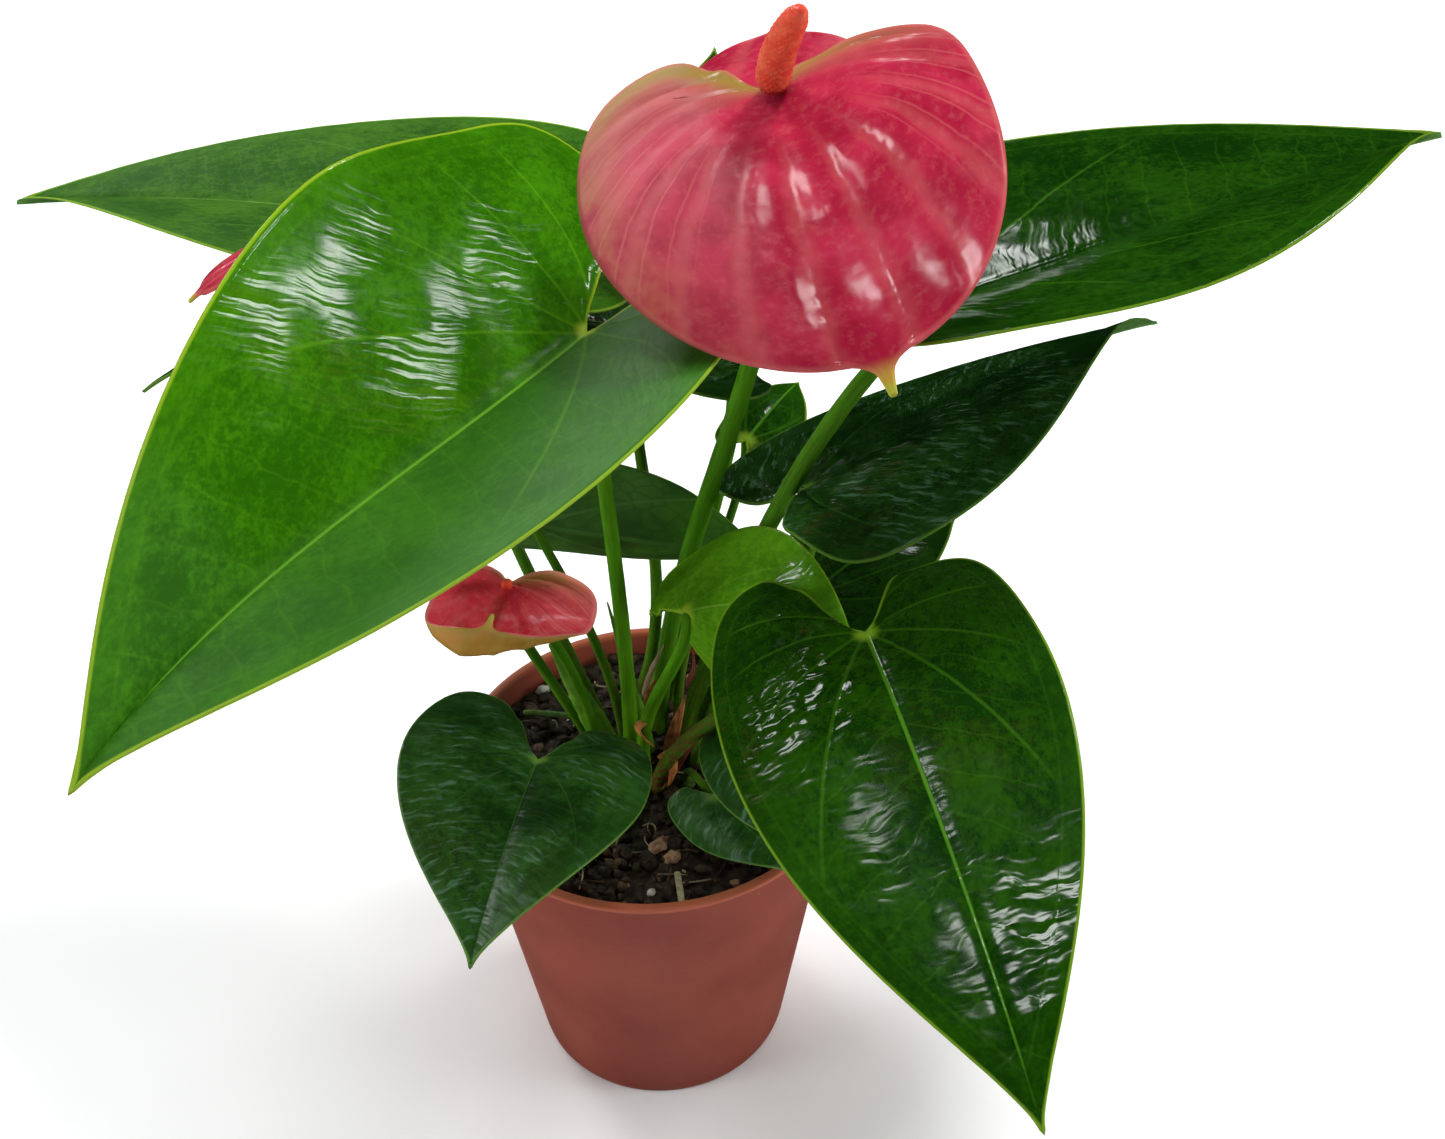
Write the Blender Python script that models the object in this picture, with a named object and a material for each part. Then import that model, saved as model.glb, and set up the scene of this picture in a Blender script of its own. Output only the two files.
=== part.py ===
"""A potted flamingo flower: a terracotta plastic pot filled with peat, fourteen
heart shaped leaves on their stalks, four blooms and the sheaths at the crown.

+Z is up and the origin is the middle of the pot's flat base. Helper functions
work in millimetres, and mesh_object turns them into metres.
"""
import math

import bmesh
import bpy
import numpy as np

MM = 0.001
GAP = 0.3

# The pot, a nine centimetre nursery size
RIM_RADIUS = 45.0
POT_HEIGHT = 86.0
BASE_RADIUS = 31.4
WALL = 1.2
FLOOR = 1.8
BAND_BOTTOM = 69.0
BAND_STEP = 1.1
LIP = 0.9
POT_SIDES = 48
DRAIN_COUNT = 4
DRAIN_RADIUS = 3.0
DRAIN_CIRCLE = 20.0

# The peat
SOIL_TOP = 80.5
SOIL_BUMP = 0.8
SOIL_RINGS = (0.0, 0.35, 0.7, 1.0)

# Blades and stalks
LEAF_THICKNESS = 0.7
SPATHE_THICKNESS = 0.8
FOOT_TOP = 84.0
FOOT_LENGTH = 14.0
HOLE_CLEARANCE = 0.35
OUTLINE_STEPS = 8
LOBE_STEPS = 6
WIDEST_AT = 0.12
ROUND_LOBES = (0.88, 0.88)

# Each leaf and spathe: the point where its stalk meets it in millimetres, the way it
# points (heading and rise), how far it is rolled, its length, its half widths and
# lobes as shares of that length (left, right), and how it arches, folds, curls and
# twists in degrees. The stalk starts at its foot in the peat and leans from there,
# reaches a share of its length straight on at both ends, and enters the blade at an
# angle to its normal. A spadix leans forward and left, and its seat is its height
# above the spathe. A lobe's shoulder is how full it is, and most are round.
LEAVES = {
    "leaf_01": dict(at=(-8, -6, 198.5), heading=-124, rise=-2, roll=4, length=121, width=(0.34, 0.385),
                    lobe=(0.18, 0.32), shoulder=(0.88, 0.98), arch=-13, tip_arch=34, lobe_lift=3,
                    fold=(18, 33), curl=(11, 20), twist=-32, wave=1.0,
                    foot=(-5, 2.5), lean=(0.04, -0.1), reach=(0.36, 0.24), entry=(30, 45), stalk=1.65),
    "leaf_02": dict(at=(-24.5, 59, 186.5), heading=163, rise=6, roll=0, length=123, width=(0.34, 0.35),
                    lobe=(0.26, 0.26), arch=15, tip_arch=0, lobe_lift=5, fold=(15, 15),
                    curl=(-12, -9), twist=6, wave=1.0,
                    foot=(-12.5, 17.5), lean=(-0.34, 0.14), reach=(0.46, 0.32), entry=(65, -170), stalk=1.4),
    "leaf_03": dict(at=(56, 4, 195.5), heading=22, rise=5, roll=-22, length=127, width=(0.37, 0.34),
                    lobe=(0.26, 0.22), arch=-4, tip_arch=9, lobe_lift=13, fold=(15, 16),
                    curl=(23, -33), twist=9, wave=1.0,
                    foot=(6.5, 5), lean=(0.3, 0.18), reach=(0.48, 0.22), entry=(85, 25), stalk=1.9),
    "leaf_04": dict(at=(34, 3.5, 155.5), heading=29, rise=16, roll=-31, length=91, width=(0.34, 0.43),
                    lobe=(0.12, 0.15), arch=11, tip_arch=10, lobe_lift=15, fold=(10, 12),
                    curl=(2, -58), twist=-8, wave=0.6,
                    foot=(12, 11), lean=(0.14, -0.06), reach=(0.38, 0.34), entry=(40, 45), stalk=1.5),
    "leaf_05": dict(at=(-22.5, 13.5, 142.5), heading=3, rise=-17, roll=-87, length=53, width=(0.36, 0.38),
                    lobe=(0.26, 0.26), arch=-6, tip_arch=-9, lobe_lift=5, fold=(30, 8),
                    curl=(10, -17), twist=4, wave=0.6,
                    foot=(-7, 12.5), lean=(-0.08, -0.02), reach=(0.42, 0.16), entry=(70, -130), stalk=1.1),
    "leaf_06": dict(at=(8, -9, 135), heading=-33, rise=38, roll=1, length=41, width=(0.48, 0.42),
                    lobe=(0.34, 0.08), shoulder=(0.42, 0.88), arch=42, tip_arch=21, lobe_lift=5,
                    fold=(14, -80), curl=(15, -25), twist=1, wave=1.0,
                    foot=(-2, -0.5), lean=(-0.06, -0.08), reach=(0.42, 0.24), entry=(35, 10), stalk=1.5),
    "leaf_07": dict(at=(40, -38, 152), heading=-84, rise=4, roll=11, length=94, width=(0.31, 0.34),
                    lobe=(0.16, 0.27), arch=33, tip_arch=13, lobe_lift=4, fold=(4, 0),
                    curl=(-9, -26), twist=-3, wave=0.8,
                    foot=(1, -7), lean=(0.12, -0.24), reach=(0.3, 0.26), entry=(45, 35), stalk=1.6),
    "leaf_08": dict(at=(-24, -20.5, 106.5), heading=-98, rise=20, roll=-7, length=60, width=(0.41, 0.44),
                    lobe=(0.27, 0.29), arch=19, tip_arch=10, lobe_lift=8, fold=(13, 17),
                    curl=(-24, -7), twist=8, wave=0.4,
                    foot=(-5.5, -4.5), lean=(-0.1, -0.18), reach=(0.4, 0.26), entry=(45, 0), stalk=1.3),
    "leaf_09": dict(at=(35, 2.5, 128), heading=38, rise=16, roll=-5, length=48, width=(0.38, 0.38),
                    lobe=(0.14, 0.2), arch=30, tip_arch=10, lobe_lift=5, fold=(8, 8),
                    curl=(-15, -15), twist=0, wave=0.4,
                    foot=(13, 5.5), lean=(0.1, -0.04), reach=(0.4, 0.24), entry=(45, 0), stalk=1.2),
    "leaf_10": dict(at=(26, -19, 112), heading=-79, rise=15, roll=21, length=46, width=(0.40, 0.40),
                    lobe=(0.26, 0.26), arch=28, tip_arch=10, lobe_lift=5, fold=(8, 6),
                    curl=(-15, -18), twist=0, wave=0.4,
                    foot=(10, 0.5), lean=(0.14, -0.16), reach=(0.4, 0.24), entry=(45, 0), stalk=1.3),
    "leaf_11": dict(at=(13, -17.5, 90), heading=-57, rise=0, roll=15, length=26, width=(0.42, 0.42),
                    lobe=(0.26, 0.26), arch=8, tip_arch=0, lobe_lift=5, fold=(8, 6),
                    curl=(-15, -15), twist=0, wave=0.3,
                    foot=(7.5, -5.5), lean=(0.04, -0.1), reach=(0.4, 0.24), entry=(45, 0), stalk=0.9),
    "leaf_12": dict(at=(2, 34, 176), heading=176, rise=17, roll=13, length=108, width=(0.28, 0.21),
                    lobe=(0.25, 0.26), arch=38, tip_arch=12, lobe_lift=3, fold=(6, 8),
                    curl=(-15, -15), twist=2, wave=0.8,
                    foot=(-3, 20.5), lean=(0.36, 0), reach=(0.44, 0.32), entry=(25, 85), stalk=1.4),
    "leaf_13": dict(at=(24.5, 39, 144.5), heading=55, rise=12, roll=20, length=30, width=(0.24, 0.34),
                    lobe=(0.15, 0.24), arch=25, tip_arch=8, lobe_lift=5, fold=(8, 6),
                    curl=(-15, -15), twist=0, wave=0.3,
                    foot=(6.5, 13.5), lean=(0, 0.16), reach=(0.42, 0.26), entry=(50, 40), stalk=1.1),
    "leaf_14": dict(at=(17, 80, 175), heading=80, rise=52, roll=0, length=48, width=(0.36, 0.36),
                    lobe=(0.24, 0.24), arch=18, tip_arch=0, lobe_lift=5, fold=(8, 6),
                    curl=(-15, -15), twist=0, wave=0.4,
                    foot=(5.5, 22.5), lean=(0.26, 0.28), reach=(0.4, 0.3), entry=(60, 35), stalk=1.1),
}
BLOOMS = {
    "flower_1": dict(at=(25.7, -2, 239.7), heading=-82, rise=-9, roll=17, length=61, width=(0.525, 0.63),
                     lobe=(0.13, 0.33), arch=33, tip_arch=13, lobe_lift=4, fold=(2, 2),
                     curl=(-16, -23), twist=0, wave=0.6,
                     foot=(2, 14), lean=(0.08, 0.16), reach=(0.36, 0.3), entry=(20, 145), stalk=2.0,
                     spadix=22.5, spadix_radius=3.0, spadix_lean=(0.67, 0.33), seat=1.0),
    "flower_2": dict(at=(17, 31, 208.5), heading=72, rise=15, roll=-4, length=62, width=(0.52, 0.58),
                     lobe=(0.06, 0.3), arch=6, tip_arch=3, lobe_lift=5, fold=(2, 6),
                     curl=(-45, -16), twist=-8, wave=0.5,
                     foot=(0.5, 18.5), lean=(0.16, -0.1), reach=(0.3, 0.52), entry=(10, 145), stalk=1.6,
                     spadix=17, spadix_radius=2.6, spadix_lean=(0.4, 0), seat=0.7),
    "flower_3": dict(at=(-27, -10, 145.5), heading=-127, rise=-46, roll=-32, length=36, width=(0.56, 0.44),
                     lobe=(0.17, 0.05), arch=-143, tip_arch=-30, lobe_lift=7, fold=(14, -10),
                     curl=(16, 99), twist=24, wave=0.3,
                     foot=(-13, 1.5), lean=(0.08, -0.04), reach=(0.4, 0.24), entry=(0, 0), stalk=1.15,
                     spadix=7, spadix_radius=1.2, spadix_lean=(0, 0), seat=1.3),
    "flower_4": dict(at=(-56, 15, 210), heading=196, rise=-6, roll=12, length=27, width=(0.50, 0.50),
                     lobe=(0.30, 0.30), arch=23, tip_arch=9, lobe_lift=5, fold=(7, 5),
                     curl=(-15, -17), twist=2, wave=0.3,
                     foot=(-14, 7.5), lean=(-0.36, -0.1), reach=(0.5, 0.24), entry=(-5, 15), stalk=1.15,
                     spadix=8, spadix_radius=1.5, spadix_lean=(0, 0), seat=0.5),
}
# The sheaths at the crown: foot, the points they pass, half width and thickness
SHEATHS = {
    "sheath_green": dict(foot=(-10, 5.5), points=((-15, 4, 100), (-21, 3, 118)), width=3.0, depth=1.0),
    "sheath_spear": dict(foot=(-1, 5.3), points=((-4, 4.5, 105), (-8, 4, 128)), width=1.5, depth=1.2),
    "sheath_brown_1": dict(foot=(-2.5, 9.5), points=((-2, 8.8, 92), (1.5, 8.8, 101)), width=1.9, depth=0.6),
    "sheath_brown_2": dict(foot=(4, 0.8), points=((5, 1.5, 92), (8, 2.5, 101)), width=1.7, depth=0.6),
}


def clear_scene():
    for thing in list(bpy.data.objects):
        bpy.data.objects.remove(thing, do_unlink=True)


def material(name, colour, roughness):
    made = bpy.data.materials.new(name)
    made.use_nodes = True
    shader = made.node_tree.nodes["Principled BSDF"]
    shader.inputs["Base Color"].default_value = (*colour, 1.0)
    shader.inputs["Roughness"].default_value = roughness
    return made


def mesh_object(name, points, faces, look, smooth=True):
    """Make a closed object from points in millimetres."""
    mesh = bpy.data.meshes.new(name)
    mesh.from_pydata([tuple(float(c) * MM for c in p) for p in points], [], faces)
    build = bmesh.new()
    build.from_mesh(mesh)
    bmesh.ops.recalc_face_normals(build, faces=build.faces)
    build.to_mesh(mesh)
    build.free()
    made = bpy.data.objects.new(name, mesh)
    made.data.materials.append(look)
    bpy.context.scene.collection.objects.link(made)
    if smooth:
        mesh.shade_smooth()
    return made


def bezier(p0, p1, p2, p3, count):
    t = np.linspace(0.0, 1.0, count + 1)[:, None]
    p0, p1, p2, p3 = (np.array(p, float) for p in (p0, p1, p2, p3))
    return (1 - t) ** 3 * p0 + 3 * (1 - t) ** 2 * t * p1 + 3 * (1 - t) * t * t * p2 + t ** 3 * p3


def half_outline(width, lobe, cusp, shoulder):
    """One side of a heart of unit length, from its tip round to its stalk."""
    corner = shoulder * width
    if cusp:
        point = bezier((1, 0), (0.955, 0.01), (0.925, 0.02), (0.905, 0.075), 2)
        side = bezier((0.905, 0.075), (0.865, 0.32), (0.62, width), (WIDEST_AT, width), OUTLINE_STEPS - 2)
        outer = np.vstack([point, side[1:]])
    else:
        outer = bezier((1, 0), (0.87, 0.1 * width), (0.6, width), (WIDEST_AT, width), OUTLINE_STEPS)
    back = bezier((WIDEST_AT, width), (WIDEST_AT - 0.24, width), (-lobe, corner),
                  (-lobe, 0.57 * corner), LOBE_STEPS // 2)
    inner = bezier((-lobe, 0.57 * corner), (-lobe, 0.25 * corner), (-0.07, 0.07), (0, 0), LOBE_STEPS // 2)
    return outer, np.vstack([back, inner[1:]])


def half_grid(width, lobe, cusp, shoulder, rings):
    """Rows of points from the midrib, or a rib in the lobe, out to the margin."""
    outer, lobe_edge = half_outline(width, lobe, cusp, shoulder)
    rows = []
    for edge in outer:
        rib = np.array([max(0.0, (edge[0] - WIDEST_AT) / (1 - WIDEST_AT)), 0.0])
        rows.append([rib + (edge - rib) * r for r in rings])
    for step in range(1, LOBE_STEPS + 1):
        rib = np.array([-0.45 * lobe, 0.48 * shoulder * width]) * math.sin(math.pi * step / LOBE_STEPS)
        rows.append([rib + (lobe_edge[step] - rib) * r for r in rings])
    return rows


def flat_heart(spec, cusp):
    """A heart's flat points, its triangles, and each point's share of the way out."""
    rings = np.linspace(0.0, 1.0, 5 if spec["length"] > 50 else 4)
    points = []
    share = []
    index = {}
    faces = []

    def number(point, ring):
        key = (round(float(point[0]), 6), round(float(point[1]), 6))
        if key not in index:
            index[key] = len(points)
            points.append(key)
            share.append(ring)
        return index[key]

    for side, sign in ((0, 1.0), (1, -1.0)):
        shoulder = spec.get("shoulder", ROUND_LOBES)[side]
        rows = half_grid(spec["width"][side], spec["lobe"][side], cusp, shoulder, rings)
        ids = [[number((p[0], sign * p[1]), r) for p, r in zip(row, rings)] for row in rows]
        for a, b in zip(ids[:-1], ids[1:]):
            for k in range(len(rings) - 1):
                for corners in ((a[k], a[k + 1], b[k + 1]), (a[k], b[k + 1], b[k])):
                    if len(set(corners)) == 3:
                        faces.append(corners if sign > 0 else corners[::-1])
    return np.array(points), faces, np.array(share)


def rib_curve(spec):
    """The midrib's run and height along the leaf, as shares of its length."""
    along = np.linspace(-0.6, 1.0, 321)
    middle = (along[1:] + along[:-1]) / 2
    front = -(math.radians(spec["arch"]) * middle + math.radians(spec["tip_arch"]) * middle ** 3)
    behind = math.radians(spec["lobe_lift"]) * middle
    slope = np.where(middle >= 0, front, behind)
    run = np.concatenate([[0.0], np.cumsum(np.cos(slope) * np.diff(along))])
    height = np.concatenate([[0.0], np.cumsum(np.sin(slope) * np.diff(along))])
    start = int(np.argmin(abs(along)))
    return along, run - run[start], height - height[start], np.append(slope, slope[-1])


def axes_of(spec):
    """Unit vectors along the leaf, to its left and out of its upper face."""
    heading, rise, roll = (math.radians(spec[key]) for key in ("heading", "rise", "roll"))
    ahead = math.cos(rise)
    forward = np.array([ahead * math.cos(heading), ahead * math.sin(heading), math.sin(rise)])
    level = np.array([-math.sin(heading), math.cos(heading), 0.0])
    above = np.cross(forward, level)
    left = math.cos(roll) * level + math.sin(roll) * above
    return np.array([forward, left, np.cross(forward, left)])


def shape_heart(flat, share, spec, phase):
    """Bend the flat heart: arch its midrib, fold and curl both sides, twist and wave it."""
    length = spec["length"]
    along, run, height, slope = rib_curve(spec)
    u = flat[:, 0]
    side = np.where(flat[:, 1] >= 0, 0, 1)
    sign = np.where(side == 0, 1.0, -1.0)
    out = abs(flat[:, 1]) * length
    full = np.array(spec["width"])[side] * length
    fold = np.radians(np.array(spec["fold"], float))[side]
    turn = np.radians(np.array(spec["curl"], float))[side] * out / full
    chord = out * np.sinc(turn / 2 / math.pi)
    across = sign * chord * np.cos(fold + turn / 2)
    lift = chord * np.sin(fold + turn / 2)
    angle = np.arctan2(flat[:, 1], u + 0.3)
    lift = lift + spec["wave"] * share ** 3 * np.sin(7 * angle + phase)
    spin = math.radians(spec["twist"]) * u
    across, lift = across * np.cos(spin) - lift * np.sin(spin), across * np.sin(spin) + lift * np.cos(spin)
    tilt = np.interp(u, along, slope)
    local = np.stack([np.interp(u, along, run) * length - np.sin(tilt) * lift, across,
                      np.interp(u, along, height) * length + np.cos(tilt) * lift], 1)
    return np.array(spec["at"], float) + local @ axes_of(spec)


def thicken(points, faces, thickness):
    """Close a sheet of triangles into a solid, with the same triangles on both faces."""
    normal = np.zeros_like(points)
    for a, b, c in faces:
        normal[[a, b, c]] += np.cross(points[b] - points[a], points[c] - points[a])
    normal /= np.linalg.norm(normal, axis=1)[:, None]
    solid = np.vstack([points + normal * thickness / 2, points - normal * thickness / 2])
    count = len(points)
    edges = {}
    for face in faces:
        for a, b in zip(face, face[1:] + face[:1]):
            edges[(a, b)] = edges.get((b, a), 0) + 1
            if (b, a) in edges:
                edges[(b, a)] += 1
    closed = list(faces) + [(c + count, b + count, a + count) for a, b, c in faces]
    for (a, b), uses in edges.items():
        if (b, a) not in edges and uses == 1:
            closed += [(b, a, a + count), (b, a + count, b + count)]
    return solid, closed


def rings_along(path, start_side):
    """Two unit vectors across a path at each of its points, carried along without spin."""
    tangent = np.gradient(path, axis=0)
    tangent /= np.linalg.norm(tangent, axis=1)[:, None]
    side = np.array(start_side, float)
    frames = []
    for t in tangent:
        side = side - t * side.dot(t)
        side /= np.linalg.norm(side)
        frames.append((side.copy(), np.cross(t, side)))
    return frames


def tube(path, wide, deep, sides, start_side=(1, 0, 0)):
    """A closed tube with its half width and half depth given at each point of a path."""
    points = []
    for centre, (a, b), w, d in zip(path, rings_along(path, start_side), wide, deep):
        for k in range(sides):
            turn = 2 * math.pi * k / sides
            points.append(centre + a * w * math.cos(turn) + b * d * math.sin(turn))
    faces = [tuple(range(sides))[::-1]]
    for ring in range(len(path) - 1):
        low = ring * sides
        for k in range(sides):
            n = (k + 1) % sides
            faces.append((low + k, low + n, low + sides + n, low + sides + k))
    faces.append(tuple(range((len(path) - 1) * sides, len(path) * sides)))
    return points, faces


def foot_line(spec):
    """The straight foot in the peat: its top and its upward direction."""
    lean = np.array([*spec["lean"], 1.0])
    return np.array([*spec["foot"], FOOT_TOP]), lean / np.linalg.norm(lean)


def stalk_path(spec, end):
    """The stalk's centre line, from the foot's lower end up to the blade."""
    top, up = foot_line(spec)
    forward, left, above = axes_of(spec)
    entry, aside = (math.radians(a) for a in spec["entry"])
    arrive = above * math.cos(entry) + math.sin(entry) * (forward * math.cos(aside) + left * math.sin(aside))
    distance = np.linalg.norm(end - top)
    steps = 7 if distance > 60 else 5
    low, high = (share * distance for share in spec["reach"])
    curve = bezier(top, top + up * low, end - arrive * high, end, steps)
    return np.vstack([top - up * FOOT_LENGTH, curve]), arrive


def stalk_points(spec, end, dome):
    """A stalk with a straight foot, a little slimmer towards the top."""
    path, arrive = stalk_path(spec, end)
    radius = spec["stalk"]
    radii = [radius * 1.08, radius * 1.08] + list(np.linspace(radius, 0.86 * radius, len(path) - 2))
    if dome:
        top = 0.86 * radius
        path = np.vstack([path, path[-1] + arrive * 0.6 * top, path[-1] + arrive * 0.95 * top])
        radii += [0.8 * top, 0.35 * top]
    sides = 8 if radius > 1.5 else 6
    return tube(path, radii, radii, sides)


def join(first, second):
    """Unite two objects in place and remove the second."""
    union = first.modifiers.new("join", "BOOLEAN")
    union.operation = "UNION"
    union.object = second
    union.solver = "EXACT"
    bpy.context.view_layer.update()
    shape = bpy.data.meshes.new_from_object(first.evaluated_get(bpy.context.evaluated_depsgraph_get()))
    first.modifiers.clear()
    first.data = shape
    bpy.data.objects.remove(second, do_unlink=True)


def make_leaf(name, spec, look, phase):
    """A blade and its stalk, grown as one piece."""
    flat, faces, share = flat_heart(spec, cusp=False)
    sheet = shape_heart(flat, share, spec, phase)
    blade = mesh_object(name, *thicken(sheet, faces, LEAF_THICKNESS), look)
    above = axes_of(spec)[2]
    end = np.array(spec["at"], float) - above * 0.7 * spec["stalk"]
    stalk = mesh_object(name + "_stalk", *stalk_points(spec, end, dome=True), look)
    join(blade, stalk)


def make_bloom(name, spec, looks, phase):
    """A spathe, the spadix that stands on it and the stalk below it."""
    flat, faces, share = flat_heart(spec, cusp=True)
    sheet = shape_heart(flat, share, spec, phase)
    mesh_object(name + "_spathe", *thicken(sheet, faces, SPATHE_THICKNESS), looks["spathe"])
    forward, left, above = axes_of(spec)
    at = np.array(spec["at"], float)
    tilt = abs(math.sin(math.radians(spec["entry"][0])))
    end = at - above * (SPATHE_THICKNESS / 2 + 1.3 * GAP + tilt * spec["stalk"])
    mesh_object(name + "_stalk", *stalk_points(spec, end, dome=False), looks["stalk"])
    lean = above + forward * spec["spadix_lean"][0] + left * spec["spadix_lean"][1]
    lean /= np.linalg.norm(lean)
    start = at + above * (SPATHE_THICKNESS / 2 + spec["seat"])
    radius = spec["spadix_radius"]
    share_up = np.array([0.0, 0.08, 0.35, 0.65, 0.85, 0.96, 1.0])
    radii = radius * np.array([0.8, 1.0, 0.98, 0.86, 0.72, 0.45, 0.15])
    drift = (share_up ** 1.3)[:, None] * lean + (share_up - share_up ** 1.3)[:, None] * above
    path = start + drift * spec["spadix"]
    mesh_object(name + "_spadix", *tube(path, radii, radii, 8, left), looks["spadix"])


def make_sheath(name, spec, look):
    """A flat pointed sheath that stands in the peat beside the stalks."""
    foot = np.array([*spec["foot"], FOOT_TOP])
    middle, tip = (np.array(p, float) for p in spec["points"])
    up = (middle - foot) / np.linalg.norm(middle - foot)
    path = np.vstack([foot - up * FOOT_LENGTH, bezier(foot, foot + (middle - foot) * 0.6, middle, tip, 5)])
    taper = np.array([0.9, 1.0, 1.0, 0.95, 0.8, 0.55, 0.12])
    mesh_object(name, *tube(path, spec["width"] * taper, spec["depth"] * np.maximum(taper, 0.3), 8), look)


def wall_radius(height, inset):
    """The pot's outer radius at a height, less an inset, without its rim band."""
    slope = (RIM_RADIUS - BAND_STEP - LIP - BASE_RADIUS) / POT_HEIGHT
    return BASE_RADIUS + slope * height - inset


def lathe(profile, sides):
    """Turn a closed profile of radii and heights about the Z axis."""
    points = []
    for radius, height in profile:
        for k in range(sides):
            turn = 2 * math.pi * k / sides
            points.append((radius * math.cos(turn), radius * math.sin(turn), height))
    faces = []
    count = len(profile)
    for ring in range(count - 1):
        for k in range(sides):
            n = (k + 1) % sides
            low, high = ring * sides, (ring + 1) * sides
            faces.append((low + k, low + n, high + n, high + k))
    faces.append(tuple(range(sides))[::-1])
    faces.append(tuple(range((count - 1) * sides, count * sides)))
    return points, faces


def cut_with(target, cutters):
    """Cut a list of hidden cutters out of an object in one go."""
    group = bpy.data.collections.new(target.name + "_cutters")
    for cutter in cutters:
        bpy.context.scene.collection.objects.unlink(cutter)
        group.objects.link(cutter)
    bpy.context.scene.collection.children.link(group)
    cut = target.modifiers.new("holes", "BOOLEAN")
    cut.operation = "DIFFERENCE"
    cut.operand_type = "COLLECTION"
    cut.collection = group
    cut.solver = "EXACT"
    bpy.context.view_layer.update()
    shape = bpy.data.meshes.new_from_object(target.evaluated_get(bpy.context.evaluated_depsgraph_get()))
    target.modifiers.clear()
    target.data = shape
    for cutter in cutters:
        bpy.data.objects.remove(cutter, do_unlink=True)
    bpy.data.collections.remove(group)


def make_pot(look):
    """The tapered pot with its rim band, thin lip and drainage holes."""
    band = BAND_STEP
    profile = [
        (wall_radius(0, 0), 0.0),
        (wall_radius(BAND_BOTTOM, 0), BAND_BOTTOM),
        (wall_radius(BAND_BOTTOM, -band), BAND_BOTTOM + 0.6),
        (wall_radius(POT_HEIGHT - 1.6, -band), POT_HEIGHT - 1.6),
        (RIM_RADIUS, POT_HEIGHT - 1.2),
        (RIM_RADIUS, POT_HEIGHT - 0.3),
        (RIM_RADIUS - 0.4, POT_HEIGHT),
        (wall_radius(POT_HEIGHT, WALL - band), POT_HEIGHT),
        (wall_radius(BAND_BOTTOM + 2, WALL - band), BAND_BOTTOM + 2),
        (wall_radius(BAND_BOTTOM, WALL), BAND_BOTTOM),
        (wall_radius(FLOOR, WALL), FLOOR),
    ]
    pot = mesh_object("pot", *lathe(profile, POT_SIDES), look)
    cutters = []
    for k in range(DRAIN_COUNT):
        turn = 2 * math.pi * (k + 0.5) / DRAIN_COUNT
        centre = np.array([DRAIN_CIRCLE * math.cos(turn), DRAIN_CIRCLE * math.sin(turn), -1.0])
        path = np.array([centre, centre + (0, 0, FLOOR + 2)])
        radii = [DRAIN_RADIUS, DRAIN_RADIUS]
        cutters.append(mesh_object("drain_cutter", *tube(path, radii, radii, 16), look))
    cut_with(pot, cutters)


def soil_height(x, y):
    """The peat's lumpy top, a little higher round the crown."""
    lumps = math.sin(0.42 * x + 1.1) * math.cos(0.37 * y) + 0.6 * math.sin(0.81 * y + 0.5 * x)
    mound = 1.2 * (1 - (x * x + y * y) / 42.0 ** 2)
    return SOIL_TOP + mound + SOIL_BUMP * 0.6 * lumps


def make_soil(look, feet):
    """The peat that fills the pot, with a plain hole for each foot."""
    clear = WALL + GAP
    rings = [
        (wall_radius(FLOOR, clear), FLOOR + GAP),
        (wall_radius(BAND_BOTTOM - 0.5, clear), BAND_BOTTOM - 0.5),
        (wall_radius(BAND_BOTTOM + 1, clear - 0.4), BAND_BOTTOM + 1.5),
        (wall_radius(SOIL_TOP - 2, clear - BAND_STEP), SOIL_TOP - 2),
    ]
    points, faces = lathe(rings, POT_SIDES)
    faces = faces[:-1]
    low = 3 * POT_SIDES
    edge = rings[-1][0]
    for share in SOIL_RINGS[::-1]:
        if share == 0:
            points.append((0, 0, soil_height(0, 0)))
            faces += [(low + k, low + (k + 1) % POT_SIDES, len(points) - 1) for k in range(POT_SIDES)]
            break
        start = len(points)
        for k in range(POT_SIDES):
            turn = 2 * math.pi * k / POT_SIDES
            x, y = share * edge * math.cos(turn), share * edge * math.sin(turn)
            points.append((x, y, soil_height(x, y)))
        for k in range(POT_SIDES):
            n = (k + 1) % POT_SIDES
            faces.append((low + k, low + n, start + n))
            faces.append((low + k, start + n, start + k))
        low = start
    soil = mesh_object("soil", points, faces, look)
    cutters = []
    for path, wide, deep, sides in feet:
        cutters.append(mesh_object("foot_cutter", *tube(path, wide, deep, sides), look))
    cut_with(soil, cutters)


def foot_cutters():
    """The holes: each foot's own shape, a little wider and deeper."""
    feet = []
    for spec in list(LEAVES.values()) + list(BLOOMS.values()):
        top, up = foot_line(spec)
        radius = spec["stalk"] * 1.08 + HOLE_CLEARANCE
        path = np.array([top - up * (FOOT_LENGTH + GAP), top + up * 4])
        feet.append((path, [radius] * 2, [radius] * 2, 8 if spec["stalk"] > 1.5 else 6))
    for spec in SHEATHS.values():
        foot = np.array([*spec["foot"], FOOT_TOP])
        middle = np.array(spec["points"][0], float)
        up = (middle - foot) / np.linalg.norm(middle - foot)
        path = np.array([foot - up * (FOOT_LENGTH + GAP), foot + up * 4])
        feet.append((path, [spec["width"] + HOLE_CLEARANCE] * 2, [spec["depth"] + HOLE_CLEARANCE] * 2, 8))
    return feet


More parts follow.
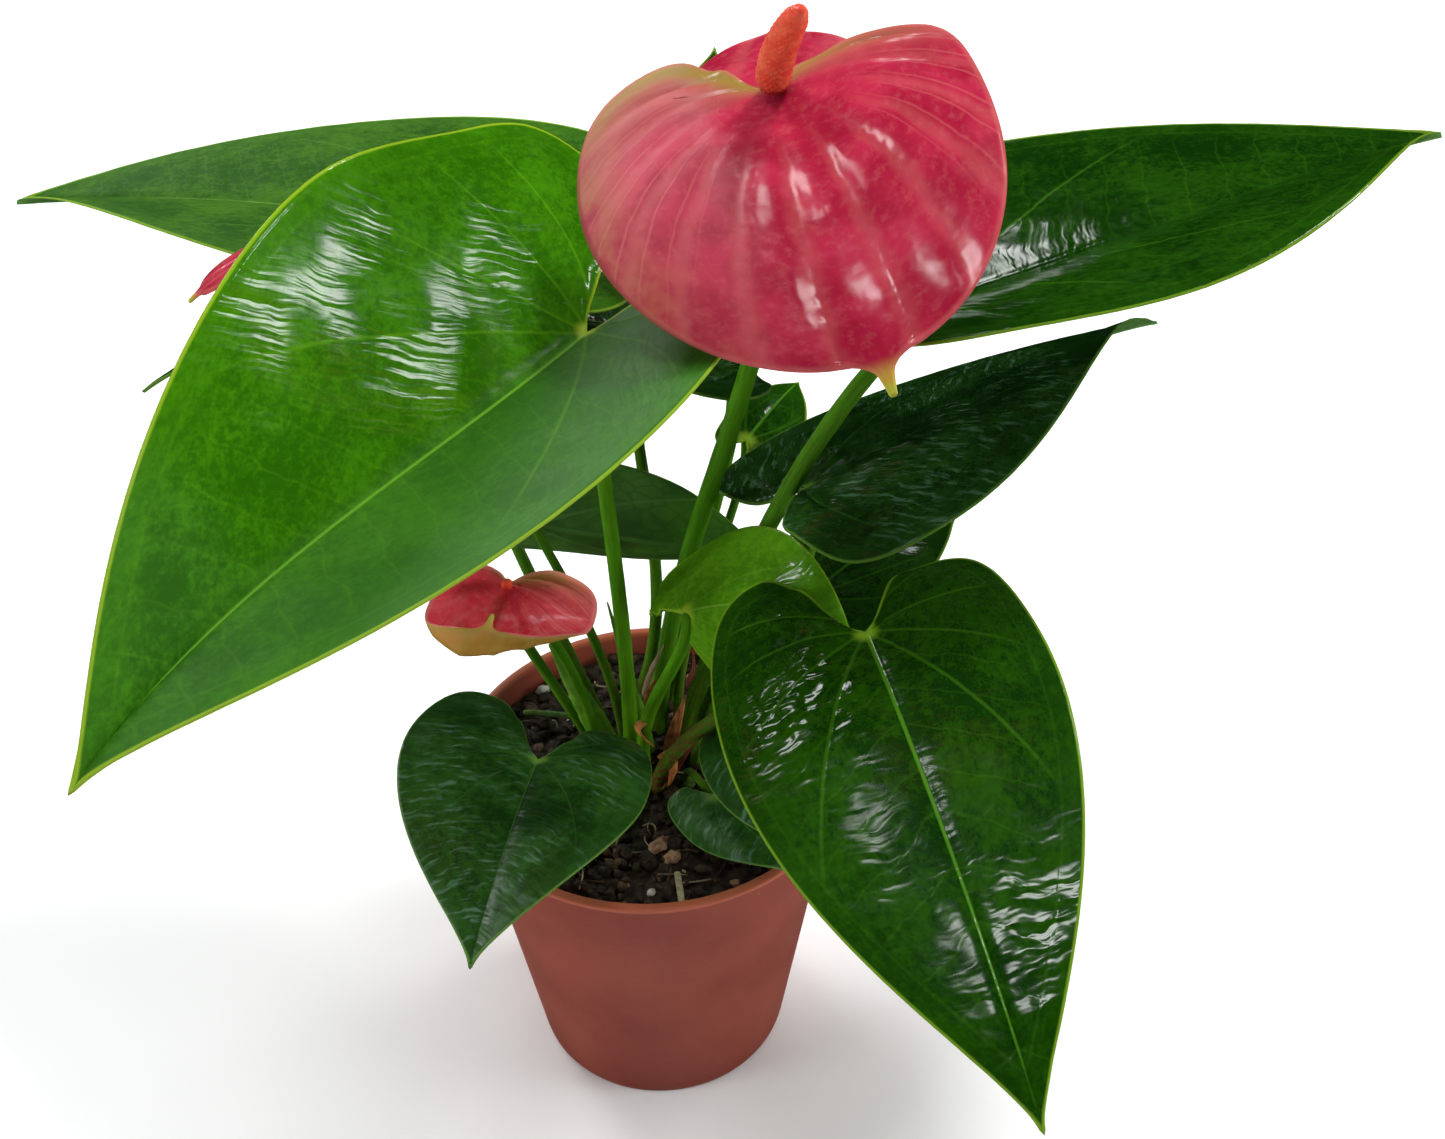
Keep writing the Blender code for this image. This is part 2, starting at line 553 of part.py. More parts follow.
def main():
    clear_scene()
    bright = material("young leaf", (0.06, 0.28, 0.01), 0.35)
    green = material("leaf", (0.03, 0.16, 0.02), 0.35)
    dark = material("old leaf", (0.012, 0.07, 0.025), 0.3)
    bloom_looks = {
        "spathe": material("spathe", (0.55, 0.02, 0.06), 0.25),
        "spadix": material("spadix", (0.75, 0.12, 0.05), 0.4),
        "stalk": material("bloom stalk", (0.10, 0.30, 0.02), 0.4),
    }
    terracotta = material("terracotta plastic", (0.28, 0.07, 0.04), 0.45)
    peat = material("peat", (0.03, 0.018, 0.012), 0.95)
    sheath_green = material("green sheath", (0.13, 0.33, 0.02), 0.5)
    sheath_brown = material("brown sheath", (0.30, 0.10, 0.03), 0.7)
    make_pot(terracotta)
    make_soil(peat, foot_cutters())
    ages = {"leaf_01": bright, "leaf_06": bright, "leaf_04": dark, "leaf_08": dark, "leaf_12": dark}
    for number, (name, spec) in enumerate(LEAVES.items()):
        make_leaf(name, spec, ages.get(name, green), 0.9 * number)
    for number, (name, spec) in enumerate(BLOOMS.items()):
        make_bloom(name, spec, bloom_looks, 1.3 * number)
    for name, spec in SHEATHS.items():
        make_sheath(name, spec, sheath_brown if "brown" in name else sheath_green)


main()
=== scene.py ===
"""The potted flamingo flower's looks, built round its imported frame.

Every leaf, bloom, sheath, the pot and the peat get a finer piece that keeps the form of
its solid. Lengths are millimetres, and mesh_object turns them into metres. Only the
lights' sizes and distances are in metres.
"""
import math
import random
from types import SimpleNamespace

import bmesh
import bpy
import numpy as np
from mathutils import Matrix, Vector, noise

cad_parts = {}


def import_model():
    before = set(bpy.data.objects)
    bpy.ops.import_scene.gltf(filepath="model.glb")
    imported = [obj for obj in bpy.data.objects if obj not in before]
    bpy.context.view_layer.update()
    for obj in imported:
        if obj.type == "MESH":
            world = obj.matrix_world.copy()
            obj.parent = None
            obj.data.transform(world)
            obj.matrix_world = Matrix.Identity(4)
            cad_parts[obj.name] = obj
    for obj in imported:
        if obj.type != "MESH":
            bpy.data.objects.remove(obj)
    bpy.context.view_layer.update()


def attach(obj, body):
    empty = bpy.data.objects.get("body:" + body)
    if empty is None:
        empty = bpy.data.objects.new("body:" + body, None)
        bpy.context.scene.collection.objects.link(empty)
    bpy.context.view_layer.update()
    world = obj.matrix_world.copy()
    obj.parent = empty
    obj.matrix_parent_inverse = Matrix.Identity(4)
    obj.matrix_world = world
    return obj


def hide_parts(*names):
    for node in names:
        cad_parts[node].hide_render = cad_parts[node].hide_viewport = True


MM = 0.001
GAP = 0.3

# The pot and the peat, as in the solids
RIM_RADIUS = 45.0
POT_HEIGHT = 86.0
BASE_RADIUS = 31.4
WALL = 1.2
FLOOR = 1.8
BAND_BOTTOM = 69.0
BAND_STEP = 1.1
LIP = 0.9
# The lip's rounding: how far in from the rim and down from the top
LIP_CURVE = ((0.25, 1.35), (0, 1.05), (0, 0.5), (0.15, 0.15), (0.45, 0))
POT_SIDES = 160
DRAIN_COUNT = 4
DRAIN_RADIUS = 3.0
DRAIN_CIRCLE = 20.0
DRAIN_SIDES = 32
SHARP_ANGLE = 50
SOIL_TOP = 80.5
SOIL_BUMP = 0.8

# Blades and stalks
LEAF_THICKNESS = 0.7
SPATHE_THICKNESS = 0.8
FOOT_TOP = 84.0
FOOT_LENGTH = 14.0
WIDEST_AT = 0.12
STALK_STEPS = 48
STALK_SIDES = 20
STALK_TAPER = 0.86
SHEATH_STEPS = 30
SHEATH_SIDES = 28
SCRAP_SIDES = 16

# The camera: where it stands, and its azimuth, dip and roll in degrees
CAMERA_AT = (0.0, -244.4, 330.55)
CAMERA_TURN = (3.83, 38.08, -0.44)
SENSOR_MM = 36.0
FOCAL_PIXELS = 1500.0
PHOTO_WIDTH = 1445.0

# The panels that show in reflections: azimuth and elevation, distance, size in metres, watts
PANELS = (
    ("ceiling", (180, 73), 1.5, (0.3, 0.2), 3.2),
    ("lamp", (-55, 61), 1.5, (0.14, 0.42), 2.9),
    ("window", (-33, 27), 1.7, (0.50, 0.44), 7.0),
    ("far_window", (10, 31), 1.7, (0.15, 0.12), 0.5),
    ("side_window", (64, 24), 1.7, (0.17, 0.12), 1.2),
    ("side_pane", (56, 36), 1.7, (0.12, 0.15), 1.0),
)
# The broad lights that don't: azimuth and elevation, size, watts, and their one distance
FILLS = (((-102, 10), 0.6, 13.0), ((102, 10), 0.6, 13.0), ((180, 84), 0.9, 2.0), ((50, 62), 0.35, 20.0))
FILL_DISTANCE = 1.8
AIM_AT = (10.0, -10.0, 160.0)
FLOOR_REACH = 4000

# The surround's tint, and its strength: from and to which slope, and the strength at each
SKY_COLOUR = (0.95, 0.98, 1.0)
SKY_SLOPE = (-0.8, 0.4, 0.07, 0.72)

# A blade's steps round its outer margin and its lobe, and its rings, by its length
BIG_BLADE = 50
FINE_GRID = (60, 40, 26)
COARSE_GRID = (36, 28, 16)
# What most blades have
USUAL = dict(shoulder=(0.88, 0.88), fold=(8, 6), curl=(-15, -15), twist=0, wave=0.4)


def heart(**values):
    """A leaf's or spathe's values, with the usual ones for those it doesn't name."""
    spec = SimpleNamespace(**{**USUAL, **values})
    spec.at = np.array(spec.at, float)
    spec.grid = FINE_GRID if spec.length > BIG_BLADE else COARSE_GRID
    spec.cusp = "spadix" in values
    return spec


# Each leaf and spathe, with the numbers of its solid. Turn is its heading, rise and roll,
# and arch is how its blade, its tip and its lobes bend along the midrib, all in degrees.
LEAVES = {
    "leaf_01": heart(
        at=(-8, -6, 198.5), turn=(-124, -2, 4), length=121, width=(0.34, 0.385), lobe=(0.18, 0.32),
        shoulder=(0.88, 0.98), arch=(-13, 34, 3), fold=(18, 33), curl=(11, 20), twist=-32, wave=1.0,
        foot=(-5, 2.5), lean=(0.04, -0.1), reach=(0.36, 0.24), entry=(30, 45), stalk=1.65),
    "leaf_02": heart(
        at=(-24.5, 59, 186.5), turn=(163, 6, 0), length=123, width=(0.34, 0.35), lobe=(0.26, 0.26),
        arch=(15, 0, 5), fold=(15, 15), curl=(-12, -9), twist=6, wave=1.0, foot=(-12.5, 17.5),
        lean=(-0.34, 0.14), reach=(0.46, 0.32), entry=(65, -170), stalk=1.4),
    "leaf_03": heart(
        at=(56, 4, 195.5), turn=(22, 5, -22), length=127, width=(0.37, 0.34), lobe=(0.26, 0.22),
        arch=(-4, 9, 13), fold=(15, 16), curl=(23, -33), twist=9, wave=1.0, foot=(6.5, 5), lean=(0.3, 0.18),
        reach=(0.48, 0.22), entry=(85, 25), stalk=1.9),
    "leaf_04": heart(
        at=(34, 3.5, 155.5), turn=(29, 16, -31), length=91, width=(0.34, 0.43), lobe=(0.12, 0.15),
        arch=(11, 10, 15), fold=(10, 12), curl=(2, -58), twist=-8, wave=0.6, foot=(12, 11),
        lean=(0.14, -0.06), reach=(0.38, 0.34), entry=(40, 45), stalk=1.5),
    "leaf_05": heart(
        at=(-22.5, 13.5, 142.5), turn=(3, -17, -87), length=53, width=(0.36, 0.38), lobe=(0.26, 0.26),
        arch=(-6, -9, 5), fold=(30, 8), curl=(10, -17), twist=4, wave=0.6, foot=(-7, 12.5),
        lean=(-0.08, -0.02), reach=(0.42, 0.16), entry=(70, -130), stalk=1.1),
    "leaf_06": heart(
        at=(8, -9, 135), turn=(-33, 38, 1), length=41, width=(0.48, 0.42), lobe=(0.34, 0.08),
        shoulder=(0.42, 0.88), arch=(42, 21, 5), fold=(14, -80), curl=(15, -25), twist=1, wave=1.0,
        foot=(-2, -0.5), lean=(-0.06, -0.08), reach=(0.42, 0.24), entry=(35, 10), stalk=1.5),
    "leaf_07": heart(
        at=(40, -38, 152), turn=(-84, 4, 11), length=94, width=(0.31, 0.34), lobe=(0.16, 0.27),
        arch=(33, 13, 4), fold=(4, 0), curl=(-9, -26), twist=-3, wave=0.8, foot=(1, -7), lean=(0.12, -0.24),
        reach=(0.3, 0.26), entry=(45, 35), stalk=1.6),
    "leaf_08": heart(
        at=(-24, -20.5, 106.5), turn=(-98, 20, -7), length=60, width=(0.41, 0.44), lobe=(0.27, 0.29),
        arch=(19, 10, 8), fold=(13, 17), curl=(-24, -7), twist=8, foot=(-5.5, -4.5), lean=(-0.1, -0.18),
        reach=(0.4, 0.26), entry=(45, 0), stalk=1.3),
    "leaf_09": heart(
        at=(35, 2.5, 128), turn=(38, 16, -5), length=48, width=(0.38, 0.38), lobe=(0.14, 0.2),
        arch=(30, 10, 5), fold=(8, 8), foot=(13, 5.5), lean=(0.1, -0.04), reach=(0.4, 0.24), entry=(45, 0),
        stalk=1.2),
    "leaf_10": heart(
        at=(26, -19, 112), turn=(-79, 15, 21), length=46, width=(0.4, 0.4), lobe=(0.26, 0.26),
        arch=(28, 10, 5), curl=(-15, -18), foot=(10, 0.5), lean=(0.14, -0.16), reach=(0.4, 0.24),
        entry=(45, 0), stalk=1.3),
    "leaf_11": heart(
        at=(13, -17.5, 90), turn=(-57, 0, 15), length=26, width=(0.42, 0.42), lobe=(0.26, 0.26),
        arch=(8, 0, 5), wave=0.3, foot=(7.5, -5.5), lean=(0.04, -0.1), reach=(0.4, 0.24), entry=(45, 0),
        stalk=0.9),
    "leaf_12": heart(
        at=(2, 34, 176), turn=(176, 17, 13), length=108, width=(0.28, 0.21), lobe=(0.25, 0.26),
        arch=(38, 12, 3), fold=(6, 8), twist=2, wave=0.8, foot=(-3, 20.5), lean=(0.36, 0),
        reach=(0.44, 0.32), entry=(25, 85), stalk=1.4),
    "leaf_13": heart(
        at=(24.5, 39, 144.5), turn=(55, 12, 20), length=30, width=(0.24, 0.34), lobe=(0.15, 0.24),
        arch=(25, 8, 5), wave=0.3, foot=(6.5, 13.5), lean=(0, 0.16), reach=(0.42, 0.26), entry=(50, 40),
        stalk=1.1),
    "leaf_14": heart(
        at=(17, 80, 175), turn=(80, 52, 0), length=48, width=(0.36, 0.36), lobe=(0.24, 0.24),
        arch=(18, 0, 5), foot=(5.5, 22.5), lean=(0.26, 0.28), reach=(0.4, 0.3), entry=(60, 35), stalk=1.1),
}
BLOOMS = {
    "flower_1": heart(
        at=(25.7, -2, 239.7), turn=(-82, -9, 17), length=61, width=(0.525, 0.63), lobe=(0.13, 0.33),
        arch=(33, 13, 4), fold=(2, 2), curl=(-16, -23), wave=0.6, foot=(2, 14), lean=(0.08, 0.16),
        reach=(0.36, 0.3), entry=(20, 145), stalk=2.0, spadix=22.5, spadix_radius=3.0,
        spadix_lean=(0.67, 0.33), seat=1.0),
    "flower_2": heart(
        at=(17, 31, 208.5), turn=(72, 15, -4), length=62, width=(0.52, 0.58), lobe=(0.06, 0.3),
        arch=(6, 3, 5), fold=(2, 6), curl=(-45, -16), twist=-8, wave=0.5, foot=(0.5, 18.5),
        lean=(0.16, -0.1), reach=(0.3, 0.52), entry=(10, 145), stalk=1.6, spadix=17, spadix_radius=2.6,
        spadix_lean=(0.4, 0), seat=0.7),
    "flower_3": heart(
        at=(-27, -10, 145.5), turn=(-127, -46, -32), length=36, width=(0.56, 0.44), lobe=(0.17, 0.05),
        arch=(-143, -30, 7), fold=(14, -10), curl=(16, 99), twist=24, wave=0.3, foot=(-13, 1.5),
        lean=(0.08, -0.04), reach=(0.4, 0.24), entry=(0, 0), stalk=1.15, spadix=7, spadix_radius=1.2,
        spadix_lean=(0, 0), seat=1.3),
    "flower_4": heart(
        at=(-56, 15, 210), turn=(196, -6, 12), length=27, width=(0.5, 0.5), lobe=(0.3, 0.3),
        arch=(23, 9, 5), fold=(7, 5), curl=(-15, -17), twist=2, wave=0.3, foot=(-14, 7.5),
        lean=(-0.36, -0.1), reach=(0.5, 0.24), entry=(-5, 15), stalk=1.15, spadix=8, spadix_radius=1.5,
        spadix_lean=(0, 0), seat=0.5),
}
# Each sheath: name, slot, foot, middle, tip, half width and half depth
SHEATHS = (
    ("sheath_green", "green_sheath", (-10, 5.5), (-15, 4, 100), (-21, 3, 118), 3.0, 1.0),
    ("sheath_spear", "green_sheath", (-1, 5.3), (-4, 4.5, 105), (-8, 4, 128), 1.5, 1.2),
    ("sheath_brown_1", "dry_sheath", (-2.5, 9.5), (-2, 8.8, 92), (1.5, 8.8, 101), 1.9, 0.6),
    ("sheath_brown_2", "dry_sheath", (4, 0.8), (5, 1.5, 92), (8, 2.5, 101), 1.7, 0.6),
)
SHEATH_TAPER = (0.9, 1.0, 1.0, 0.95, 0.8, 0.55, 0.12)

# The looks on the peat, by their slot in its piece
PEAT, FIBRE, BARK, PERLITE, STRAW, GREEN = range(6)

# Bits lying on the peat: x, y, size, look and proportions
SOIL_BITS = (
    (-26, 29, 1.7, PERLITE, (1, 0.8, 0.7)),
    (0.7, -23.6, 2.3, BARK, (0.8, 1.5, 0.6)),
    (3.2, -27.2, 2.0, BARK, (1.2, 0.8, 0.6)),
    (15.9, -38.6, 1.3, PERLITE, (1.2, 0.8, 0.6)),
    (16.2, -35.1, 1.2, BARK, (1, 0.8, 0.6)),
    (0.9, -30.4, 1.2, STRAW, (1.3, 0.7, 0.6)),
    (-1.7, -36.5, 1.0, PERLITE, (1, 1, 0.7)),
    (20.3, -36.8, 1.1, STRAW, (1.4, 0.7, 0.6)),
    (8.2, -6.2, 1.4, GREEN, (1.3, 0.8, 0.6)),
    (5.6, -13.7, 1.2, GREEN, (1, 0.8, 0.6)),
    (-29, 4, 1.6, PERLITE, (1, 0.8, 0.7)),
    (-8, -34, 1.2, FIBRE, (1, 1, 0.7)),
    (10, 30, 1.3, BARK, (1, 0.8, 0.7)),
    (-20, 24, 1.3, BARK, (1.3, 0.8, 0.6)),
    (30, 14, 1.4, PERLITE, (1, 0.8, 0.6)),
    (24, 25, 1.8, BARK, (1.5, 0.7, 0.5)),
    (-34, -10, 1.0, PERLITE, (1, 0.8, 0.6)),
    (-12, 36, 1.2, BARK, (1.2, 0.8, 0.5)),
)
# Sticks on the peat: both ends, radius and look
SOIL_STICKS = (
    ((4, -33, 83.2), (4.6, -43.2, 84.6), 0.7, STRAW),
    ((-29.7, 19.1, 83), (-14.2, 15.1, 83.6), 1.1, GREEN),
    ((-24, -22, 82.6), (-13, -27, 82.9), 0.5, FIBRE),
    ((22, -22, 82.8), (30, -15, 82.8), 0.5, FIBRE),
)
PEAT_RINGS = 60
CRUMB_COUNT = 900
CRUMB_SIZES = (0.6, 0.9, 1.3, 1.9)
FIBROUS_SHARE = 0.16
FIBRE_COUNT = 220
FIBRE_INSET = 5.0
SPECK_COUNT = 90

# Dry scraps round the crown: start, bulge, end, half width and look
ORANGE, TAN, RED = range(3)
CROWN_SCRAPS = (
    ((-1.7, -3.7, 100), (-3.6, -5.2, 99), (0.3, -3.6, 92), 1.5, ORANGE),
    ((2, -6.5, 92.5), (5, -9.4, 92), (3.4, -11.5, 87.5), 1.7, ORANGE),
    ((-1.4, 6.5, 99), (0.4, 4.2, 107), (3.4, 3, 116), 2.1, TAN),
    ((8.5, 3.5, 104), (10.2, 1.5, 110), (9.8, 2, 116), 1.6, RED),
    ((3, -9, 85), (7, -8, 93), (13.5, -4.4, 100), 0.9, RED),
    ((-8, -2, 85), (-9.5, -3.5, 89), (-7, -6, 85.5), 1.2, ORANGE),
)

# Where the main veins leave the stalk, in degrees from the midrib, and how they bend
VEIN_ANGLES = (36.0, 74.0, 118.0, 152.0)
VEIN_BEND = 0.62
SPATHE_BEND = 0.55
LEAST_BEND = 0.3
SPATHE_LANE = 24.0

# The side veins' spacing and slant, and how far a leaf's edge vein lies from its margin
SIDE_VEIN_STEP = 9.5
SIDE_VEIN_SLANT = 0.62
RIM_VEIN_INSET = 3.6

# A spathe's point is drawn out from here on, and a blade thins towards its margin
TIP_FROM = 0.94
TIP_STRETCH = 1.1
MARGIN_THINNING = 0.45

# The spadix: its steps, its radius by its share of the way up, and the size of its beads
SPADIX_STEPS = 90
SPADIX_PROFILE = ((0.0, 0.08, 0.35, 0.65, 0.85, 0.96, 1.0), (0.8, 1.0, 0.98, 0.86, 0.72, 0.45, 0.15))
BEAD_WIDTH = 0.95
BEAD_HEIGHT = 0.85

# A leaf's looks, by their slot in its piece
UPPER, UNDER, STALK = range(3)

# Which upper look a leaf has, if not the usual green
AGES = {"leaf_01": "young_lit", "leaf_02": "satin", "leaf_04": "old", "leaf_06": "fresh", "leaf_07": "puckered",
        "leaf_08": "small", "leaf_10": "small", "leaf_11": "small", "leaf_12": "old"}

# Painted sheen: the pale bluish colour of streaks that stand for the sheen on some leaves
PAINTED_SHEEN_COLOUR = (0.12, 0.24, 0.15)
BROWN_ZONE = (0.42, 0.11, 0.085)
CUSP_ORANGE = (0.50, 0.30, 0.05)
CUSP_GREEN = (0.42, 0.42, 0.05)


# Materials

class Value:
    """A number inside a tree of nodes, which takes part in ordinary arithmetic."""

    def __init__(self, look, socket):
        self.look = look
        self.socket = socket

    def __add__(self, other):
        return self.look.math("ADD", self, other)

    def __sub__(self, other):
        return self.look.math("SUBTRACT", self, other)

    def __rsub__(self, other):
        return self.look.math("SUBTRACT", other, self)

    def __mul__(self, other):
        return self.look.math("MULTIPLY", self, other)

    def __truediv__(self, other):
        return self.look.math("DIVIDE", self, other)

    def __abs__(self):
        return self.look.math("ABSOLUTE", self)

    def fraction(self):
        return self.look.math("FRACT", self)

    def at_least(self, other):
        return self.look.math("MAXIMUM", self, other)

    def ramp(self, low, high):
        """0 below low and 1 above high, with a smooth step between."""
        ends = {0: self, 1: low, 2: high, 3: 0.0, 4: 1.0}
        made = self.look.node("MapRange", ends, interpolation_type="SMOOTHSTEP")
        return Value(self.look, made.outputs[0])

    def line(self, width, soft):
        """1 below a width and 0 past it, with a smooth step between."""
        return 1.0 - self.ramp(width, width + soft)


class Nodes:
    """A tree of nodes under construction, with short calls for them."""

    def __init__(self, tree):
        self.tree = tree

    def put(self, socket, value):
        if isinstance(value, Value):
            value = value.socket
        if isinstance(value, bpy.types.NodeSocket):
            self.tree.links.new(value, socket)
        elif socket.type == "RGBA":
            socket.default_value = (*value, 1.0)
        else:
            socket.default_value = value

    def node(self, kind, inputs, **settings):
        """A new node. Its inputs are keyed by their number or name."""
        made = self.tree.nodes.new("ShaderNode" + kind)
        for name, value in settings.items():
            setattr(made, name, value)
        for key, value in inputs.items():
            self.put(made.inputs[key], value)
        return made

    def math(self, operation, a, b=0.0):
        return Value(self, self.node("Math", {0: a, 1: b}, operation=operation).outputs[0])

    def parts(self, vector):
        return [Value(self, part) for part in self.node("SeparateXYZ", {0: vector}).outputs]

    def vector(self, x, y, z=0.0):
        return self.node("CombineXYZ", {0: x, 1: y, 2: z}).outputs[0]

    def attribute(self, name):
        return self.node("Attribute", {}, attribute_name=name).outputs["Vector"]

    def place_mm(self):
        """The place on the piece, in millimetres."""
        place = self.node("TexCoord", {}).outputs["Object"]
        return self.node("VectorMath", {0: place, "Scale": 1 / MM}, operation="SCALE").outputs[0]

    def noise(self, place, scale, detail=3.0, roughness=0.55):
        inputs = {"Vector": place, "Scale": scale, "Detail": detail, "Roughness": roughness}
        return Value(self, self.node("TexNoise", inputs).outputs["Fac"])

    def cells(self, place, scale, feature="F1"):
        made = self.node("TexVoronoi", {"Vector": place, "Scale": scale}, feature=feature)
        return Value(self, made.outputs["Distance"])

    def bump(self, height, strength, distance):
        inputs = {"Strength": strength, "Distance": distance, "Height": height}
        return self.node("Bump", inputs).outputs[0]


class Look(Nodes):
    """A material, painted in layers over its first colour."""

    def __init__(self, name, colour):
        self.material = bpy.data.materials.new(name)
        self.material.use_nodes = True
        super().__init__(self.material.node_tree)
        self.colour = colour

    def paint(self, share, colour):
        """Lay a share of another colour over what is there."""
        inputs = {0: share, 6: self.colour, 7: colour}
        self.colour = self.node("Mix", inputs, data_type="RGBA").outputs[2]

    def finish(self, **values):
        """The material, with its colour and these values on its shader."""
        shader = self.tree.nodes["Principled BSDF"]
        self.put(shader.inputs["Base Color"], self.colour)
        for name, value in values.items():
            self.put(shader.inputs[name.replace("_", " ")], value)
        return self.material


def blade_point(look, bend):
    """Where a point lies on a heart: x, y and margin in millimetres, u and v in lengths."""
    at = SimpleNamespace(place=look.attribute("blade_mm"))
    at.x, at.y, at.margin = look.parts(at.place)
    at.u, v, at.share = look.parts(look.attribute("blade_share"))
    at.side = abs(at.y)
    at.angle = look.math("ARCTAN2", at.side, at.x) * (180 / math.pi)
    at.reach = look.math("SQRT", at.u * at.u + v * v)
    at.bend = (1.0 - at.reach * bend).at_least(LEAST_BEND)
    at.start = at.angle / at.bend
    return at


def main_veins(look, at):
    """Distances in millimetres to the nearest main vein and to the top of the stalk."""
    away = look.math("SQRT", at.x * at.x + at.y * at.y)
    per_degree = away * at.bend * (math.pi / 180)
    nearest, *others = [abs(at.start - vein) * per_degree for vein in VEIN_ANGLES]
    for gap in others:
        nearest = look.math("MINIMUM", nearest, gap)
    return nearest, away


def leaf_look(name, dark, light, vein, rim, gloss, blister, shine=0.5, fine_veins=1.0,
              slant=SIDE_VEIN_SLANT, wet=None, streaks=0.0):
    """A leaf's upper face: mottled green, pale veins and margin, fine blistering and gloss."""
    look = Look(name, dark)
    at = blade_point(look, VEIN_BEND)
    main, away = main_veins(look, at)
    tone = look.noise(at.place, 0.055) * 0.4 + look.noise(at.place, 0.45, 4, 0.65) * 0.35
    tone = tone + look.noise(at.place, 1.3, 3, 0.6) * 0.25
    look.paint(tone.ramp(0.41, 0.6), light)
    look.paint(at.margin.line(0.5, 7.0) * 0.35, light)
    look.paint(look.cells(at.place, 0.55).ramp(0.25, 0.9) * 0.25, dark)
    left_half = at.y.ramp(-2.0, 6.0)
    # Painted shade: on some leaves the half left of the midrib is darkened, standing for the shadow the bloom
    # casts over it
    if wet and wet["painted_shade"]:
        look.paint(left_half * wet["painted_shade"], dark)

    # Pale veins: the midrib, the main veins from the stalk, thin side veins and one along the rim
    midrib = at.side.line(at.u * (-0.18 * fine_veins) + 0.26 * fine_veins, 0.28 * fine_veins)
    midrib = midrib * at.x.ramp(0.0, 1.0) * (1.0 - at.u.ramp(0.82, 1.0))
    fade = 1.0 - at.share.ramp(0.55, 0.97)
    basal = main.line(0.1 * fine_veins, 0.45 * fine_veins) * fade
    warp = look.noise(at.place, 0.08, 2) * 6.0 - 3.0
    phase = ((at.x - at.side * SIDE_VEIN_SLANT + warp) / SIDE_VEIN_STEP).fraction()
    thin = (abs(phase - 0.5) * SIDE_VEIN_STEP).line(0.12, 0.3) * 0.08 * fade * at.u.ramp(-0.05, 0.1)
    rim_vein = abs(at.margin - RIM_VEIN_INSET).line(0.1, 0.3) * 0.07
    veins = (midrib * 0.65).at_least(basal * 0.25).at_least(thin.at_least(rim_vein))
    look.paint(veins, vein)
    look.paint(away.line(0.8, 2.4) * 0.9, rim)
    look.paint(at.margin.line(0.2 * fine_veins, 0.45 * fine_veins) * 0.65, rim)

    # Blisters in slanting rows, and on some leaves pale streaks of painted sheen
    rows = look.vector(at.x - at.side * slant + warp, at.side * 0.3)
    if streaks:
        pale = look.noise(rows, 0.75, 3, 0.6).ramp(0.5, 0.68)
        look.paint(pale * look.noise(at.place, 0.06, 2).ramp(0.42, 0.6) * streaks, PAINTED_SHEEN_COLOUR)
    height = look.cells(rows, 0.5, "SMOOTH_F1") * 0.6 + look.noise(rows, 0.3, 2, 0.6) - veins * 0.35
    rough = look.noise(at.place, 0.12) * 0.12 + (gloss - 0.06)
    if wet:
        # The right lobe and the point shine, and the rest is duller
        lobe = (at.y * -1.0).ramp(wet["lobe"], wet["lobe"] + 6.0)
        lobe = lobe * (1.0 - at.x.ramp(wet["end"], wet["end"] + 20.0))
        point = at.x.ramp(wet["point"], wet["point"] + 10.0) * left_half * 0.6
        puckers = look.cells(look.vector(at.x, at.y * 1.2), 0.27, "SMOOTH_F1")
        height = height + puckers * (lobe * wet["crinkle"] + point * (0.3 * wet["crinkle"]))
        rough = rough + (1.0 - lobe.at_least(point)) * (wet["dull"] - gloss)
    return look.finish(Roughness=rough, Normal=look.bump(height, blister, 1.1 * MM), Specular_IOR_Level=shine)


def under_look(name, dark, light, vein):
    """A leaf's underside: duller, paler, with a dark net of veins and a raised midrib."""
    look = Look(name, dark)
    at = blade_point(look, VEIN_BEND)
    main, _ = main_veins(look, at)
    look.paint(look.noise(at.place, 0.07).ramp(0.35, 0.65), light)
    net = look.cells(at.place, 0.2, "DISTANCE_TO_EDGE")
    look.paint(net.line(0.02, 0.06) * 0.55, dark)
    midrib = at.side.line(0.5, 0.3) * at.x.ramp(0.0, 1.0)
    look.paint(midrib.at_least(main.line(0.22, 0.3)) * 0.7, vein)
    fine = look.noise(at.place, 1.2)
    height = look.bump(net * 2.0 + fine * 0.4, 0.25, 0.8 * MM)
    return look.finish(Roughness=fine * 0.2 + 0.42, Normal=height)


def stalk_look(name, low, high, warm, warm_share):
    """A stalk: green with fine long streaks, warmer towards its foot."""
    look = Look(name, low)
    along, around, _ = look.parts(look.attribute("stalk_mm"))
    streak = look.noise(look.vector(along * 0.12, around * 1.6), 1.0, 4, 0.6)
    speckle = look.noise(look.place_mm(), 0.9)
    look.paint(streak.ramp(0.3, 0.7), high)
    base = along.line(0.0, 60.0)
    look.paint((base * 0.6 + 0.25) * warm_share * speckle.ramp(0.35, 0.6), warm)
    return look.finish(Roughness=speckle * 0.2 + 0.5, Normal=look.bump(streak, 0.3, 0.6 * MM),
                       Specular_IOR_Level=0.05)


